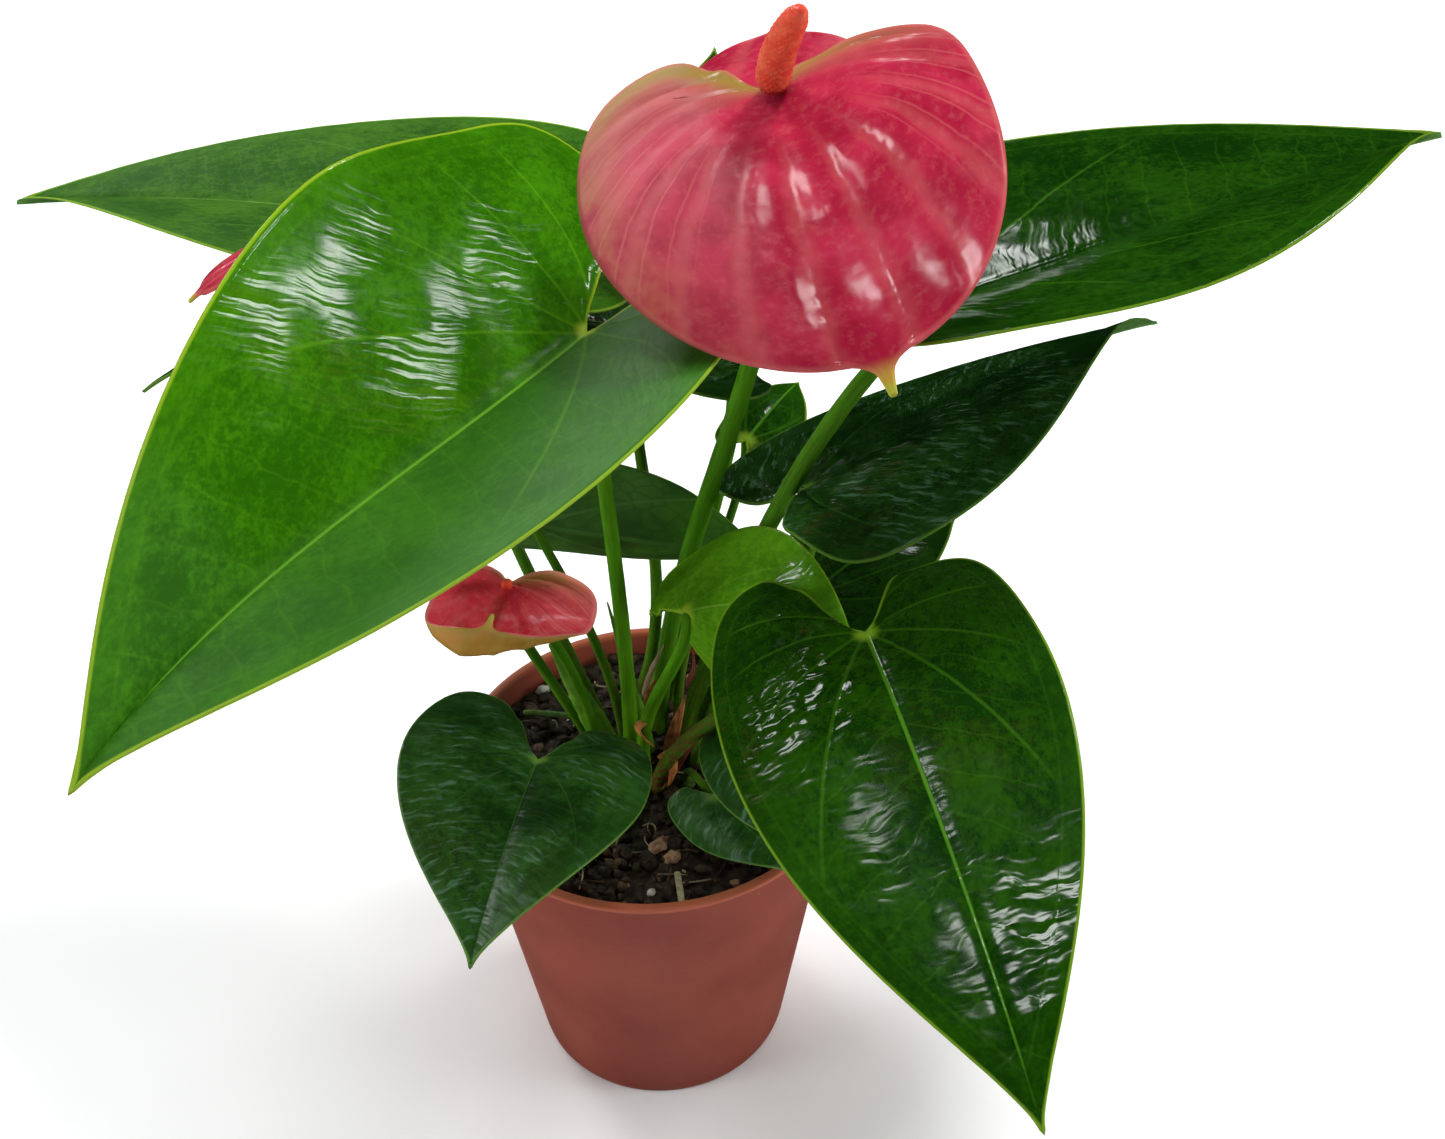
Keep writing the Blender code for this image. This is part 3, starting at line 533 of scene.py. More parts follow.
def spathe_look(name, deep, bright, vein, green, gloss):
    """A bloom's face: lacquered pink red, paler radiating veins and a greenish sinus."""
    look = Look(name, deep)
    at = blade_point(look, SPATHE_BEND)
    wobble = look.noise(at.place, 0.1, 2) * 10.0 - 5.0
    lanes = (at.start + wobble) / SPATHE_LANE
    ray = abs(lanes.fraction() - 0.5).line(0.03, 0.22) * at.reach.ramp(0.12, 0.4)
    fibre = abs(((wobble * 0.5 + at.start) / (0.5 * SPATHE_LANE)).fraction() - 0.5).line(0.015, 0.07)
    fibre = fibre * at.reach.ramp(0.15, 0.45) * at.angle.ramp(25.0, 60.0)
    wide = look.noise(at.place, 0.09)
    fine = look.noise(at.place, 0.5, 4, 0.65)
    right = at.y * -1.0
    look.paint(wide.ramp(0.35, 0.65), bright)
    look.paint(fine.ramp(0.45, 0.75) * 0.25, vein)
    look.paint(ray * 0.26, vein)
    look.paint(fibre * 0.4, vein)
    look.paint(at.angle.ramp(78.0, 120.0) * at.margin.line(3.0, 17.0) * 0.7, BROWN_ZONE)
    look.paint(at.angle.ramp(95.0, 140.0) * at.margin.line(1.6, 4.5) * 0.85, green)
    look.paint(right.ramp(12.0, 34.0) * at.margin.line(0.0, 14.0) * wide.ramp(0.4, 0.6) * 0.35, green)
    look.paint(at.margin.line(0.2, 1.0) * 0.5, vein)
    look.paint(at.u.ramp(0.9, 0.96), CUSP_ORANGE)
    look.paint(at.u.ramp(0.96, 0.985), CUSP_GREEN)
    folds = look.noise(look.vector(lanes * 1.6, at.reach * 1.3), 1.0, 2)
    height = folds * 1.3 + (look.noise(at.place, 0.11, 2) * 0.7 - ray * 0.2)
    height = height + look.cells(at.place, 0.24, "SMOOTH_F1") * 0.5
    rough = right.ramp(6.0, 20.0) * 0.4 + (fine * 0.12 + (gloss - 0.06))
    return look.finish(Roughness=rough, Normal=look.bump(height, 0.16, 1.2 * MM), Specular_IOR_Level=0.4)


def spadix_look():
    """Coral beads, darker between, with a wet red ring at the base."""
    look = Look("spadix beads", (0.80, 0.078, 0.040))
    place = look.place_mm()
    beads = look.cells(place, 1.1)
    tone = look.noise(place, 0.25)
    base = look.parts(look.attribute("stalk_mm"))[0].line(1.0, 2.0)
    look.paint(tone.ramp(0.35, 0.65), (0.92, 0.17, 0.08))
    look.paint(beads.ramp(0.2, 0.55) * 0.3, (0.55, 0.04, 0.015))
    look.paint(base * 0.8, (0.45, 0.008, 0.012))
    return look.finish(Roughness=tone * 0.2 + 0.3 - base * 0.25, Normal=look.bump(1.0 - beads, 0.5, 0.4 * MM))


def pot_look():
    """Satin moulded plastic: fine grain, faint turned rings, a dusting of paler marks."""
    look = Look("terracotta plastic", (0.26, 0.048, 0.030))
    place = look.place_mm()
    x, y, z = look.parts(place)
    grain = look.noise(place, 2.2)
    rings = look.noise(look.vector(0.0, 0.0, z), 0.9)
    scuff = look.noise(look.vector(x, y, z * 0.25), 0.18, 5, 0.7)
    look.paint(look.noise(place, 0.035).ramp(0.3, 0.7), (0.325, 0.068, 0.044))
    look.paint(rings.ramp(0.45, 0.7) * 0.18, (0.20, 0.05, 0.036))
    look.paint(scuff.ramp(0.6, 0.75) * 0.15, (0.42, 0.16, 0.12))
    # Painted highlight: the top of the lip is painted a lighter orange, standing for the light it catches
    look.paint(z.ramp(POT_HEIGHT - 1.4, POT_HEIGHT - 0.6) * 0.7, (0.52, 0.13, 0.06))
    height = look.bump(rings * 0.6 + grain * 0.25, 0.12, 0.4 * MM)
    return look.finish(Roughness=grain * 0.18 + 0.36, Normal=height,
                       Sheen_Weight=0.15, Sheen_Roughness=0.35, Sheen_Tint=(1.0, 0.55, 0.42))


def crumb_look(name, dark, light):
    """Peat, bark or perlite: rough, crumbly and uneven in tone."""
    look = Look(name, dark)
    place = look.place_mm()
    coarse = look.noise(place, 0.5, 4, 0.6)
    fine = look.noise(place, 2.5, 4, 0.7)
    look.paint(coarse.ramp(0.35, 0.65), light)
    look.paint(fine.ramp(0.55, 0.75) * 0.5, light)
    return look.finish(Roughness=fine * 0.25 + 0.7, Normal=look.bump(coarse + fine * 0.6, 0.8, 1.2 * MM))


def paper_look(name, dark, light):
    """A dry or green sheath: long fibres over uneven papery colour."""
    look = Look(name, dark)
    along, around, _ = look.parts(look.attribute("stalk_mm"))
    fibre = look.noise(look.vector(along * 0.15, around * 2.4), 1.0, 4, 0.65)
    blot = look.noise(look.place_mm(), 0.35)
    look.paint((fibre * 0.5 + blot * 0.5).ramp(0.35, 0.65), light)
    return look.finish(Roughness=blot * 0.2 + 0.45, Normal=look.bump(fibre, 0.5, 0.6 * MM))


# Meshes. A shape is its points, faces, face slots and point fields.

def mesh_object(name, looks, points, faces, slots=None, fields=None):
    """An object from a shape in millimetres and its looks."""
    mesh = bpy.data.meshes.new(name)
    mesh.from_pydata((np.asarray(points, float) * MM).tolist(), [], [tuple(int(i) for i in f) for f in faces])
    for look in looks:
        mesh.materials.append(look)
    if slots is not None:
        mesh.polygons.foreach_set("material_index", np.asarray(slots, np.int32))
    for field, values in (fields or {}).items():
        layer = mesh.attributes.new(field, "FLOAT_VECTOR", "POINT")
        layer.data.foreach_set("vector", np.asarray(values, np.float32).ravel())
    mesh.shade_smooth()
    mesh.validate()
    made = bpy.data.objects.new(name, mesh)
    bpy.context.scene.collection.objects.link(made)
    return made


def place_piece(piece, slot, *nodes):
    """Let a piece ride on the part's one body and stand for the nodes named."""
    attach(piece, "root")
    if nodes:
        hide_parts(*nodes)


def merge(shapes):
    """Put several shapes into one, with the fields of the first."""
    points, faces, slots = [], [], []
    fields = {key: [] for key in shapes[0][3]}
    start = 0
    for new_points, new_faces, new_slots, new_fields in shapes:
        points.append(new_points)
        faces += [tuple(int(i) + start for i in face) for face in new_faces]
        slots += new_slots
        for key in fields:
            fields[key].append(new_fields.get(key, np.zeros((len(new_points), 3))))
        start += len(new_points)
    return np.vstack(points), faces, slots, {key: np.vstack(value) for key, value in fields.items()}


def one_look(points, faces, slot):
    """A shape whose faces all have one slot."""
    return points, faces, [slot] * len(faces), {}


def bezier(p0, p1, p2, p3, count):
    """Points along a cubic curve, count + 1 in all."""
    t = np.linspace(0.0, 1.0, count + 1)[:, None]
    p0, p1, p2, p3 = (np.array(p, float) for p in (p0, p1, p2, p3))
    return (1 - t) ** 3 * p0 + 3 * (1 - t) ** 2 * t * p1 + 3 * (1 - t) * t * t * p2 + t ** 3 * p3


def turns(count):
    """Evenly spaced angles round a circle."""
    return [2 * math.pi * k / count for k in range(count)]


def around(radius, turn):
    """The x and y at a radius and an angle."""
    return radius * math.cos(turn), radius * math.sin(turn)


def band(low, high, sides):
    """The faces between two rings of points, given the number of each ring's first point."""
    return [(low + k, low + (k + 1) % sides, high + (k + 1) % sides, high + k) for k in range(sides)]


# Leaves and spathes

def half_outline(spec, side):
    """One side of a heart of unit length, from its tip round to its stalk."""
    outline_steps, lobe_steps, _ = spec.grid
    width = spec.width[side]
    lobe = spec.lobe[side]
    corner = spec.shoulder[side] * width
    widest = (WIDEST_AT, width)
    if spec.cusp:
        steps = outline_steps // 5
        point = bezier((1, 0), (0.955, 0.01), (0.925, 0.02), (0.905, 0.075), steps)
        rest = bezier((0.905, 0.075), (0.865, 0.32), (0.62, width), widest, outline_steps - steps)
        outer = np.vstack([point, rest[1:]])
    else:
        outer = bezier((1, 0), (0.87, 0.1 * width), (0.6, width), widest, outline_steps)
    low = (-lobe, 0.57 * corner)
    back = bezier(widest, (WIDEST_AT - 0.24, width), (-lobe, corner), low, lobe_steps // 2)
    inner = bezier(low, (-lobe, 0.25 * corner), (-0.07, 0.07), (0, 0), lobe_steps // 2)
    return outer, np.vstack([back, inner[1:]])


def half_grid(spec, side, rings):
    """Rows of points from the midrib, or a rib in the lobe, out to the margin."""
    outer, lobe_edge = half_outline(spec, side)
    lobe_steps = spec.grid[1]
    lobe_rib = np.array([-0.45 * spec.lobe[side], 0.48 * spec.shoulder[side] * spec.width[side]])
    rows = []
    for edge in outer:
        rib = np.array([max(0.0, (edge[0] - WIDEST_AT) / (1 - WIDEST_AT)), 0.0])
        rows.append([rib + (edge - rib) * r for r in rings])
    for step in range(1, lobe_steps + 1):
        rib = lobe_rib * math.sin(math.pi * step / lobe_steps)
        rows.append([rib + (lobe_edge[step] - rib) * r for r in rings])
    return rows


def flat_heart(spec):
    """A heart's flat points, its triangles, and each point's share of the way out."""
    rings = np.append(np.linspace(0.0, 0.97, spec.grid[2]), 1.0)
    share = {}
    index = {}
    faces = []

    def number(point, ring):
        key = (round(float(point[0]), 6), round(float(point[1]), 6))
        share.setdefault(key, ring)
        return index.setdefault(key, len(index))

    for side, sign in ((0, 1.0), (1, -1.0)):
        rows = half_grid(spec, side, rings)
        ids = [[number((p[0], sign * p[1]), r) for p, r in zip(row, rings)] for row in rows]
        for a, b in zip(ids[:-1], ids[1:]):
            for k in range(len(rings) - 1):
                for corners in ((a[k], a[k + 1], b[k + 1]), (a[k], b[k + 1], b[k])):
                    if len(set(corners)) == 3:
                        faces.append(corners if sign > 0 else corners[::-1])
    return np.array(list(index)), faces, np.array(list(share.values()))


def rib_curve(spec):
    """The midrib's run and height along the leaf, as shares of its length."""
    along = np.linspace(-0.6, 1.0, 321)
    middle = (along[1:] + along[:-1]) / 2
    blade, tip, lobes = np.radians(spec.arch)
    slope = np.where(middle >= 0, -(blade * middle + tip * middle ** 3), lobes * middle)
    run = np.concatenate([[0.0], np.cumsum(np.cos(slope) * np.diff(along))])
    height = np.concatenate([[0.0], np.cumsum(np.sin(slope) * np.diff(along))])
    start = int(np.argmin(abs(along)))
    return along, run - run[start], height - height[start], np.append(slope, slope[-1])


def axes_of(spec):
    """Unit vectors along the leaf, to its left and out of its upper face."""
    heading, rise, roll = (math.radians(angle) for angle in spec.turn)
    ahead = math.cos(rise)
    forward = np.array([ahead * math.cos(heading), ahead * math.sin(heading), math.sin(rise)])
    level = np.array([-math.sin(heading), math.cos(heading), 0.0])
    left = math.cos(roll) * level + math.sin(roll) * np.cross(forward, level)
    return np.array([forward, left, np.cross(forward, left)])


def shape_heart(flat, share, spec, phase, relief):
    """Bend the flat heart as its solid is bent, with a fine relief added to its lift."""
    length = spec.length
    along, run, height, slope = rib_curve(spec)
    u, v = flat.T
    side = np.where(v >= 0, 0, 1)
    out = abs(v) * length
    full = np.array(spec.width)[side] * length
    fold = np.radians(spec.fold)[side]
    turn = np.radians(spec.curl)[side] * out / full
    chord = out * np.sinc(turn / 2 / math.pi)
    across = np.where(side == 0, 1.0, -1.0) * chord * np.cos(fold + turn / 2)
    lift = chord * np.sin(fold + turn / 2)
    angle = np.arctan2(v, u + 0.3)
    lift = lift + spec.wave * share ** 3 * np.sin(7 * angle + phase) + relief
    spin = math.radians(spec.twist) * u
    across, lift = across * np.cos(spin) - lift * np.sin(spin), across * np.sin(spin) + lift * np.cos(spin)
    tilt = np.interp(u, along, slope)
    local = np.column_stack([np.interp(u, along, run) * length - np.sin(tilt) * lift, across,
                             np.interp(u, along, height) * length + np.cos(tilt) * lift])
    return spec.at + local @ axes_of(spec)


def bumps(flat_mm, scale, seed):
    """Smooth noise between about -1 and 1 at each flat point."""
    return np.array([noise.noise(Vector((x * scale, y * scale, seed * 7.3))) for x, y in flat_mm])


def spathe_relief(spec, flat, share, seed):
    """Puffed lanes between the radiating veins, and small dents all over."""
    length = spec.length
    x, y = flat[:, 0] * length, abs(flat[:, 1]) * length
    reach = np.hypot(x, y) / length
    lanes = np.degrees(np.arctan2(y, x)) / np.maximum(1 - SPATHE_BEND * reach, LEAST_BEND) / SPATHE_LANE
    puff = np.abs(np.sin(math.pi * (lanes + 0.5))) ** 0.7
    inside = np.clip(reach / 0.35, 0, 1) * np.clip(2.2 - 2.2 * share, 0, 1)
    soft = bumps(flat * length, 0.1, seed)
    fine = bumps(flat * length, 0.3, seed + 3)
    size = min(1.0, length / 60)
    return size * (0.75 * inside * (puff - 0.6) + 0.24 * inside * soft + 0.05 * fine)


def blade_relief(spec, flat, share, seed):
    """Low pillows between the side veins and grooves on the midrib and main veins."""
    length = spec.length
    x, y = flat[:, 0] * length, abs(flat[:, 1]) * length
    inside = np.sin(math.pi * np.clip(share, 0, 1)) ** 0.7
    rows = np.cos(2 * math.pi * (x - SIDE_VEIN_SLANT * y) / SIDE_VEIN_STEP)
    soft = bumps(flat * length, 0.12, seed)
    fine = bumps(flat * length, 0.35, seed + 3)
    away = np.hypot(x, y)
    groove = np.exp(-(y / 1.0) ** 2) * np.clip(x / 4, 0, 1)
    bend = np.maximum(1 - VEIN_BEND * away / length, LEAST_BEND)
    angle = np.degrees(np.arctan2(y, x)) / bend
    per_degree = away * bend * math.pi / 180
    main = np.zeros_like(x)
    for vein in VEIN_ANGLES:
        main = np.maximum(main, np.exp(-((angle - vein) * per_degree / 0.8) ** 2))
    main = main * np.clip(away / 4, 0, 1) * np.clip(1.3 - 1.3 * share, 0, 1)
    size = min(1.0, length / 90)
    return size * (0.07 * inside * rows + 0.3 * inside * soft + 0.06 * fine * share
                   - 0.35 * groove - 0.28 * main)


def margin_distance(flat, spec):
    """Millimetres from each flat point to the margin."""
    best = np.full(len(flat), np.inf)
    for side, sign in ((0, 1.0), (1, -1.0)):
        edge = np.vstack(half_outline(spec, side)) * (1.0, sign)
        for start, end in zip(edge[:-1], edge[1:]):
            span = end - start
            size = float(span @ span)
            if size < 1e-12:
                continue
            t = np.clip(((flat - start) @ span) / size, 0, 1)[:, None]
            best = np.minimum(best, np.hypot(*(flat - (start + t * span)).T))
    return best * spec.length


def thicken(points, faces, thickness):
    """Close a sheet into a solid with an upper face, an underside and a rim."""
    faces = np.asarray(faces)
    normal = np.zeros_like(points)
    a, b, c = faces.T
    face_normal = np.cross(points[b] - points[a], points[c] - points[a])
    for corner in (a, b, c):
        np.add.at(normal, corner, face_normal)
    normal /= np.linalg.norm(normal, axis=1)[:, None] + 1e-12
    half = (thickness / 2)[:, None]
    solid = np.vstack([points + normal * half, points - normal * half])
    count = len(points)
    uses = {edge for f in faces.tolist() for edge in zip(f, f[1:] + f[:1])}
    rim = sorted((p, q) for p, q in uses if (q, p) not in uses)
    closed = faces.tolist() + (faces[:, ::-1] + count).tolist()
    for p, q in rim:
        closed += [(q, p, p + count), (q, p + count, q + count)]
    slots = [UPPER] * len(faces) + [UNDER] * len(faces) + [UPPER] * (2 * len(rim))
    return solid, closed, slots


def heart_shape(spec, phase, seed, thickness):
    """The fine blade or spathe."""
    flat, faces, share = flat_heart(spec)
    if spec.cusp:
        flat[:, 0] += TIP_STRETCH * np.clip(flat[:, 0] - TIP_FROM, 0, 1)
        relief = spathe_relief(spec, flat, share, seed)
    else:
        relief = blade_relief(spec, flat, share, seed)
    sheet = shape_heart(flat, share, spec, phase, relief)
    solid, closed, slots = thicken(sheet, faces, thickness * (1.0 - MARGIN_THINNING * share ** 8))
    blade = np.column_stack([flat * spec.length, margin_distance(flat, spec)])
    norm = np.column_stack([flat, share])
    fields = {"blade_mm": np.vstack([blade, blade]), "blade_share": np.vstack([norm, norm]),
              "stalk_mm": np.zeros((2 * len(flat), 3))}
    return solid, closed, slots, fields


# Stalks, spadices and sheaths

def rings_along(path, start_side):
    """Two unit vectors across a path at each of its points, carried along without spin."""
    tangent = np.gradient(path, axis=0)
    tangent /= np.linalg.norm(tangent, axis=1)[:, None]
    side = np.array(start_side, float)
    frames = []
    for t in tangent:
        side = side - t * side.dot(t)
        side /= np.linalg.norm(side)
        frames.append((side, np.cross(t, side)))
    return frames


def tube(path, wide, deep, sides, start_side=(1, 0, 0), relief=None, slot=0):
    """A closed tube, with the distance along and round it at each point."""
    points = []
    field = []
    gone = np.concatenate([[0.0], np.cumsum(np.linalg.norm(np.diff(path, axis=0), axis=1))])
    for at, centre, (a, b), w, d in zip(gone, path, rings_along(path, start_side), wide, deep):
        for turn in turns(sides):
            swell = 1.0 if relief is None else 1.0 + relief(at, turn)
            points.append(centre + swell * (a * w * math.cos(turn) + b * d * math.sin(turn)))
            field.append((at, w * math.sin(turn) + 3 * math.cos(turn) * d, turn))
    faces = [tuple(range(sides))[::-1]]
    for ring in range(len(path) - 1):
        faces += band(ring * sides, (ring + 1) * sides, sides)
    faces.append(tuple(range(len(points) - sides, len(points))))
    return np.array(points), faces, [slot] * len(faces), {"stalk_mm": np.array(field)}


def stalk_tube(spec, end, dome, slot=0):
    """A stalk along its solid's centre line, closed by a dome under a leaf's blade."""
    up = np.array([*spec.lean, 1.0])
    up /= np.linalg.norm(up)
    top = np.array([*spec.foot, FOOT_TOP])
    forward, left, above = axes_of(spec)
    entry, aside = np.radians(spec.entry)
    arrive = above * math.cos(entry) + math.sin(entry) * (forward * math.cos(aside) + left * math.sin(aside))
    low, high = np.array(spec.reach) * np.linalg.norm(end - top)
    curve = bezier(top, top + up * low, end - arrive * high, end, STALK_STEPS)
    foot = [top - up * FOOT_LENGTH * k / 4 for k in (4, 3, 2, 1)]
    path = np.vstack([foot, curve])
    tip = STALK_TAPER * spec.stalk
    radii = np.concatenate([[spec.stalk * 1.08] * 4, np.linspace(spec.stalk * 1.04, tip, STALK_STEPS + 1)])
    if dome:
        cap = np.sin(np.linspace(0.2, 1.0, 4) * math.pi / 2)
        path = np.vstack([path] + [path[-1] + arrive * 0.95 * tip * c for c in cap])
        radii = np.append(radii, tip * np.sqrt(np.maximum(1 - cap ** 2, 0.02)))

    def ridges(along, turn):
        return 0.025 * math.sin(3 * turn + 0.05 * along) + 0.012 * math.sin(along * 0.7 + 2 * turn)

    return tube(path, radii, radii, STALK_SIDES, relief=ridges, slot=slot)


def make_leaf(name, spec, looks, slot, phase, seed):
    """A blade and its stalk as one piece."""
    blade = heart_shape(spec, phase, seed, LEAF_THICKNESS)
    end = spec.at - axes_of(spec)[2] * 0.7 * spec.stalk
    shape = merge([blade, stalk_tube(spec, end, True, slot=STALK)])
    place_piece(mesh_object(name + "_fine", looks, *shape), slot, name)


def make_bloom(name, spec, looks, phase, seed):
    """A spathe, its beaded spadix and its stalk, each a piece of its own."""
    spathe = heart_shape(spec, phase, seed, SPATHE_THICKNESS)
    place_piece(mesh_object(name + "_spathe_fine", looks["spathe"], *spathe), "spathe", name + "_spathe")
    forward, left, above = axes_of(spec)
    tilt = abs(math.sin(math.radians(spec.entry[0])))
    end = spec.at - above * (SPATHE_THICKNESS / 2 + 1.3 * GAP + tilt * spec.stalk)
    stalk = stalk_tube(spec, end, False)
    place_piece(mesh_object(name + "_stalk_fine", looks["stalk"], *stalk), "bloom_stalk", name + "_stalk")
    lean = above + forward * spec.spadix_lean[0] + left * spec.spadix_lean[1]
    lean /= np.linalg.norm(lean)
    start = spec.at + above * (SPATHE_THICKNESS / 2 + spec.seat)
    share_up = np.linspace(0.0, 1.0, SPADIX_STEPS)
    radii = spec.spadix_radius * np.interp(share_up, *SPADIX_PROFILE)
    drift = (share_up ** 1.3)[:, None] * lean + (share_up - share_up ** 1.3)[:, None] * above
    path = start + drift * spec.spadix
    count = max(8, round(2 * math.pi * spec.spadix_radius / BEAD_WIDTH))

    def beads(along, turn):
        row = along / BEAD_HEIGHT
        shift = math.pi / count * (math.floor(row) % 2)
        cell = math.cos(count * (turn + shift)) * 0.5 + 0.5
        return 0.05 * (cell * math.sin(math.pi * (row % 1.0)) - 0.5)

    spadix = tube(path, radii, radii, 4 * count, left, beads)
    place_piece(mesh_object(name + "_spadix_fine", looks["spadix"], *spadix), "spadix", name + "_spadix")


def make_sheath(name, look, slot, seed, foot, middle, tip, width, depth):
    """A flat pointed sheath with a rib and rough edges."""
    foot, middle = np.array([*foot, FOOT_TOP]), np.array(middle, float)
    up = (middle - foot) / np.linalg.norm(middle - foot)
    curve = bezier(foot, foot + (middle - foot) * 0.6, middle, tip, SHEATH_STEPS)
    path = np.vstack([foot - up * FOOT_LENGTH, curve])
    at = np.concatenate([[0.0], np.linspace(1, 6, SHEATH_STEPS + 1)])
    taper = np.interp(at, range(7), SHEATH_TAPER)

    def ribs(along, turn):
        rough = noise.noise(Vector((along * 0.35, turn * 1.2, seed)))
        return 0.10 * rough + 0.05 * math.sin(5 * turn)

    shape = tube(path, width * taper, depth * np.maximum(taper, 0.3), SHEATH_SIDES, relief=ribs)
    place_piece(mesh_object(name + "_fine", [look], *shape), slot, name)


def make_scraps(looks):
    """Torn dry sheaths, thin curled strips standing among the stalks."""
    shapes = []
    for start, bulge, end, half_width, slot in CROWN_SCRAPS:
        path = bezier(start, bulge, bulge, end, 16)
        taper = np.sin(np.linspace(0.35, 0.92, len(path)) * math.pi)

        def torn(along, turn):
            return 0.25 * noise.noise(Vector((along * 0.8, math.cos(turn) * 1.5, start[0])))

        shapes.append(tube(path, half_width * taper, 0.28 * taper + 0.1, SCRAP_SIDES, (0, 1, 0), torn, slot))
    place_piece(mesh_object("crown_scraps_fine", looks, *merge(shapes)), "dry_sheath")


# Pot and peat

def wall_radius(height, inset):
    """The pot's outer radius at a height, less an inset."""
    slope = (RIM_RADIUS - BAND_STEP - LIP - BASE_RADIUS) / POT_HEIGHT
    return BASE_RADIUS + slope * height - inset


def lathe(profile, sides):
    """Turn a closed profile of radii and heights about the Z axis."""
    points = [(*around(radius, turn), height) for radius, height in profile for turn in turns(sides)]
    faces = []
    for ring in range(len(profile) - 1):
        faces += band(ring * sides, (ring + 1) * sides, sides)
    faces.append(tuple(range(sides))[::-1])
    faces.append(tuple(range(len(points) - sides, len(points))))
    return points, faces


def make_pot(look):
    """The pot with rounded steps, a soft lip and drainage holes."""
    band_out = -BAND_STEP
    profile = [(wall_radius(0, 1.4), 0.0), (wall_radius(0.2, 0.5), 0.15), (wall_radius(0.8, 0.08), 0.7),
               (wall_radius(2, 0), 2.0)]
    for k in range(1, 12):
        height = 2 + (BAND_BOTTOM - 3.0) * k / 11
        profile.append((wall_radius(height, 0), height))
    for turn in np.linspace(0.0, 1.0, 9):
        height = BAND_BOTTOM - 0.6 + 1.6 * turn
        profile.append((wall_radius(height, band_out * (0.5 - 0.5 * math.cos(math.pi * turn))), height))
    profile += [(wall_radius(height, band_out), height) for height in (76.0, 82.0, POT_HEIGHT - 2.0)]
    profile += [(wall_radius(POT_HEIGHT - 1.6, band_out - 0.1), POT_HEIGHT - 1.6)]
    profile += [(RIM_RADIUS - inward, POT_HEIGHT - down) for inward, down in LIP_CURVE]
    profile += [(wall_radius(POT_HEIGHT, WALL + band_out - 0.3), POT_HEIGHT),
                (wall_radius(POT_HEIGHT, WALL + band_out), POT_HEIGHT - 0.3),
                (wall_radius(BAND_BOTTOM + 2, WALL + band_out), BAND_BOTTOM + 2),
                (wall_radius(BAND_BOTTOM, WALL), BAND_BOTTOM), (wall_radius(FLOOR, WALL), FLOOR)]
    pot = mesh_object("pot_fine", [look], *lathe(profile, POT_SIDES))
    cutters = []
    for turn in turns(DRAIN_COUNT):
        x, y = around(DRAIN_CIRCLE, turn + math.pi / DRAIN_COUNT)
        path = np.array([(x, y, -1.0), (x, y, 0.5), (x, y, FLOOR + 1)])
        drain = tube(path, [DRAIN_RADIUS] * 3, [DRAIN_RADIUS] * 3, DRAIN_SIDES)
        cutters.append(mesh_object("drain", [look], *drain))
        cut = pot.modifiers.new("hole", "BOOLEAN")
        cut.operation = "DIFFERENCE"
        cut.object = cutters[-1]
        cut.solver = "EXACT"
    bpy.context.view_layer.update()
    shape = bpy.data.meshes.new_from_object(pot.evaluated_get(bpy.context.evaluated_depsgraph_get()))
    pot.modifiers.clear()
    pot.data = shape
    for cutter in cutters:
        bpy.data.objects.remove(cutter, do_unlink=True)
    shape.set_sharp_from_angle(angle=math.radians(SHARP_ANGLE))
    place_piece(pot, "pot", "pot")


def soil_height(x, y):
    """The height of the peat's solid at a place."""
    lumps = math.sin(0.42 * x + 1.1) * math.cos(0.37 * y) + 0.6 * math.sin(0.81 * y + 0.5 * x)
    mound = 1.2 * (1 - (x * x + y * y) / 42.0 ** 2)
    return SOIL_TOP + mound + SOIL_BUMP * 0.6 * lumps


def chunk(rng, centre, size, squash, detail=1):
    """A rough little lump: a ball pushed in and out at random."""
    ball = bmesh.new()
    bmesh.ops.create_icosphere(ball, subdivisions=detail, radius=1.0)
    points = np.array([v.co[:] for v in ball.verts])
    faces = [tuple(v.index for v in f.verts) for f in ball.faces]
    ball.free()
    seed = rng.uniform(0, 100)
    swell = np.array([1 + 0.55 * noise.noise(Vector(p) * 1.6 + Vector((seed, 0, 0))) for p in points])
    spin = Matrix.Rotation(rng.uniform(0, 6.28), 3, "Z") @ Matrix.Rotation(rng.uniform(-0.6, 0.6), 3, "X")
    points = points * swell[:, None] * np.array(squash) * size
    return points @ np.array(spin).T + np.array(centre), faces


def peat_fibres(edge):
    """Thin bent fibres and pale specks strewn over the peat."""
    rng = random.Random(9)
    shapes = []
    for number in range(FIBRE_COUNT + SPECK_COUNT):
        turn, share = rng.uniform(0, 2 * math.pi), math.sqrt(rng.uniform(0, 1))
        x, y = around((edge - FIBRE_INSET) * share, turn)
        if number >= FIBRE_COUNT:
            size = rng.uniform(0.25, 0.5)
            speck = chunk(rng, (x, y, soil_height(x, y) + 1.4 * size), size, (1.2, 0.8, 0.7))
            shapes.append(one_look(*speck, rng.choice((BARK, PERLITE, STRAW))))
            continue
        heading, length = rng.uniform(0, 2 * math.pi), rng.uniform(3.0, 8.0)
        radius = rng.uniform(0.12, 0.26)
        end = (x + length * math.cos(heading), y + length * math.sin(heading))
        past = math.hypot(*end) / (edge - 1.5)
        if past > 1.0:
            end = (end[0] / past, end[1] / past)
        bulge = np.array([rng.uniform(-1.5, 1.5), rng.uniform(-1.5, 1.5), rng.uniform(0.2, 1.2)])
        low = np.array([x, y, soil_height(x, y) + 0.5])
        high = np.array([*end, soil_height(*end) + rng.uniform(0.3, 1.2)])
        path = bezier(low, low * 0.67 + high * 0.33 + bulge, low * 0.33 + high * 0.67 + bulge, high, 8)
        slot = rng.choice((PEAT, FIBRE, FIBRE, STRAW))
        shapes.append(tube(path, [radius] * len(path), [0.7 * radius] * len(path), 5, (0, 0, 1),
                           slot=slot))
    return shapes


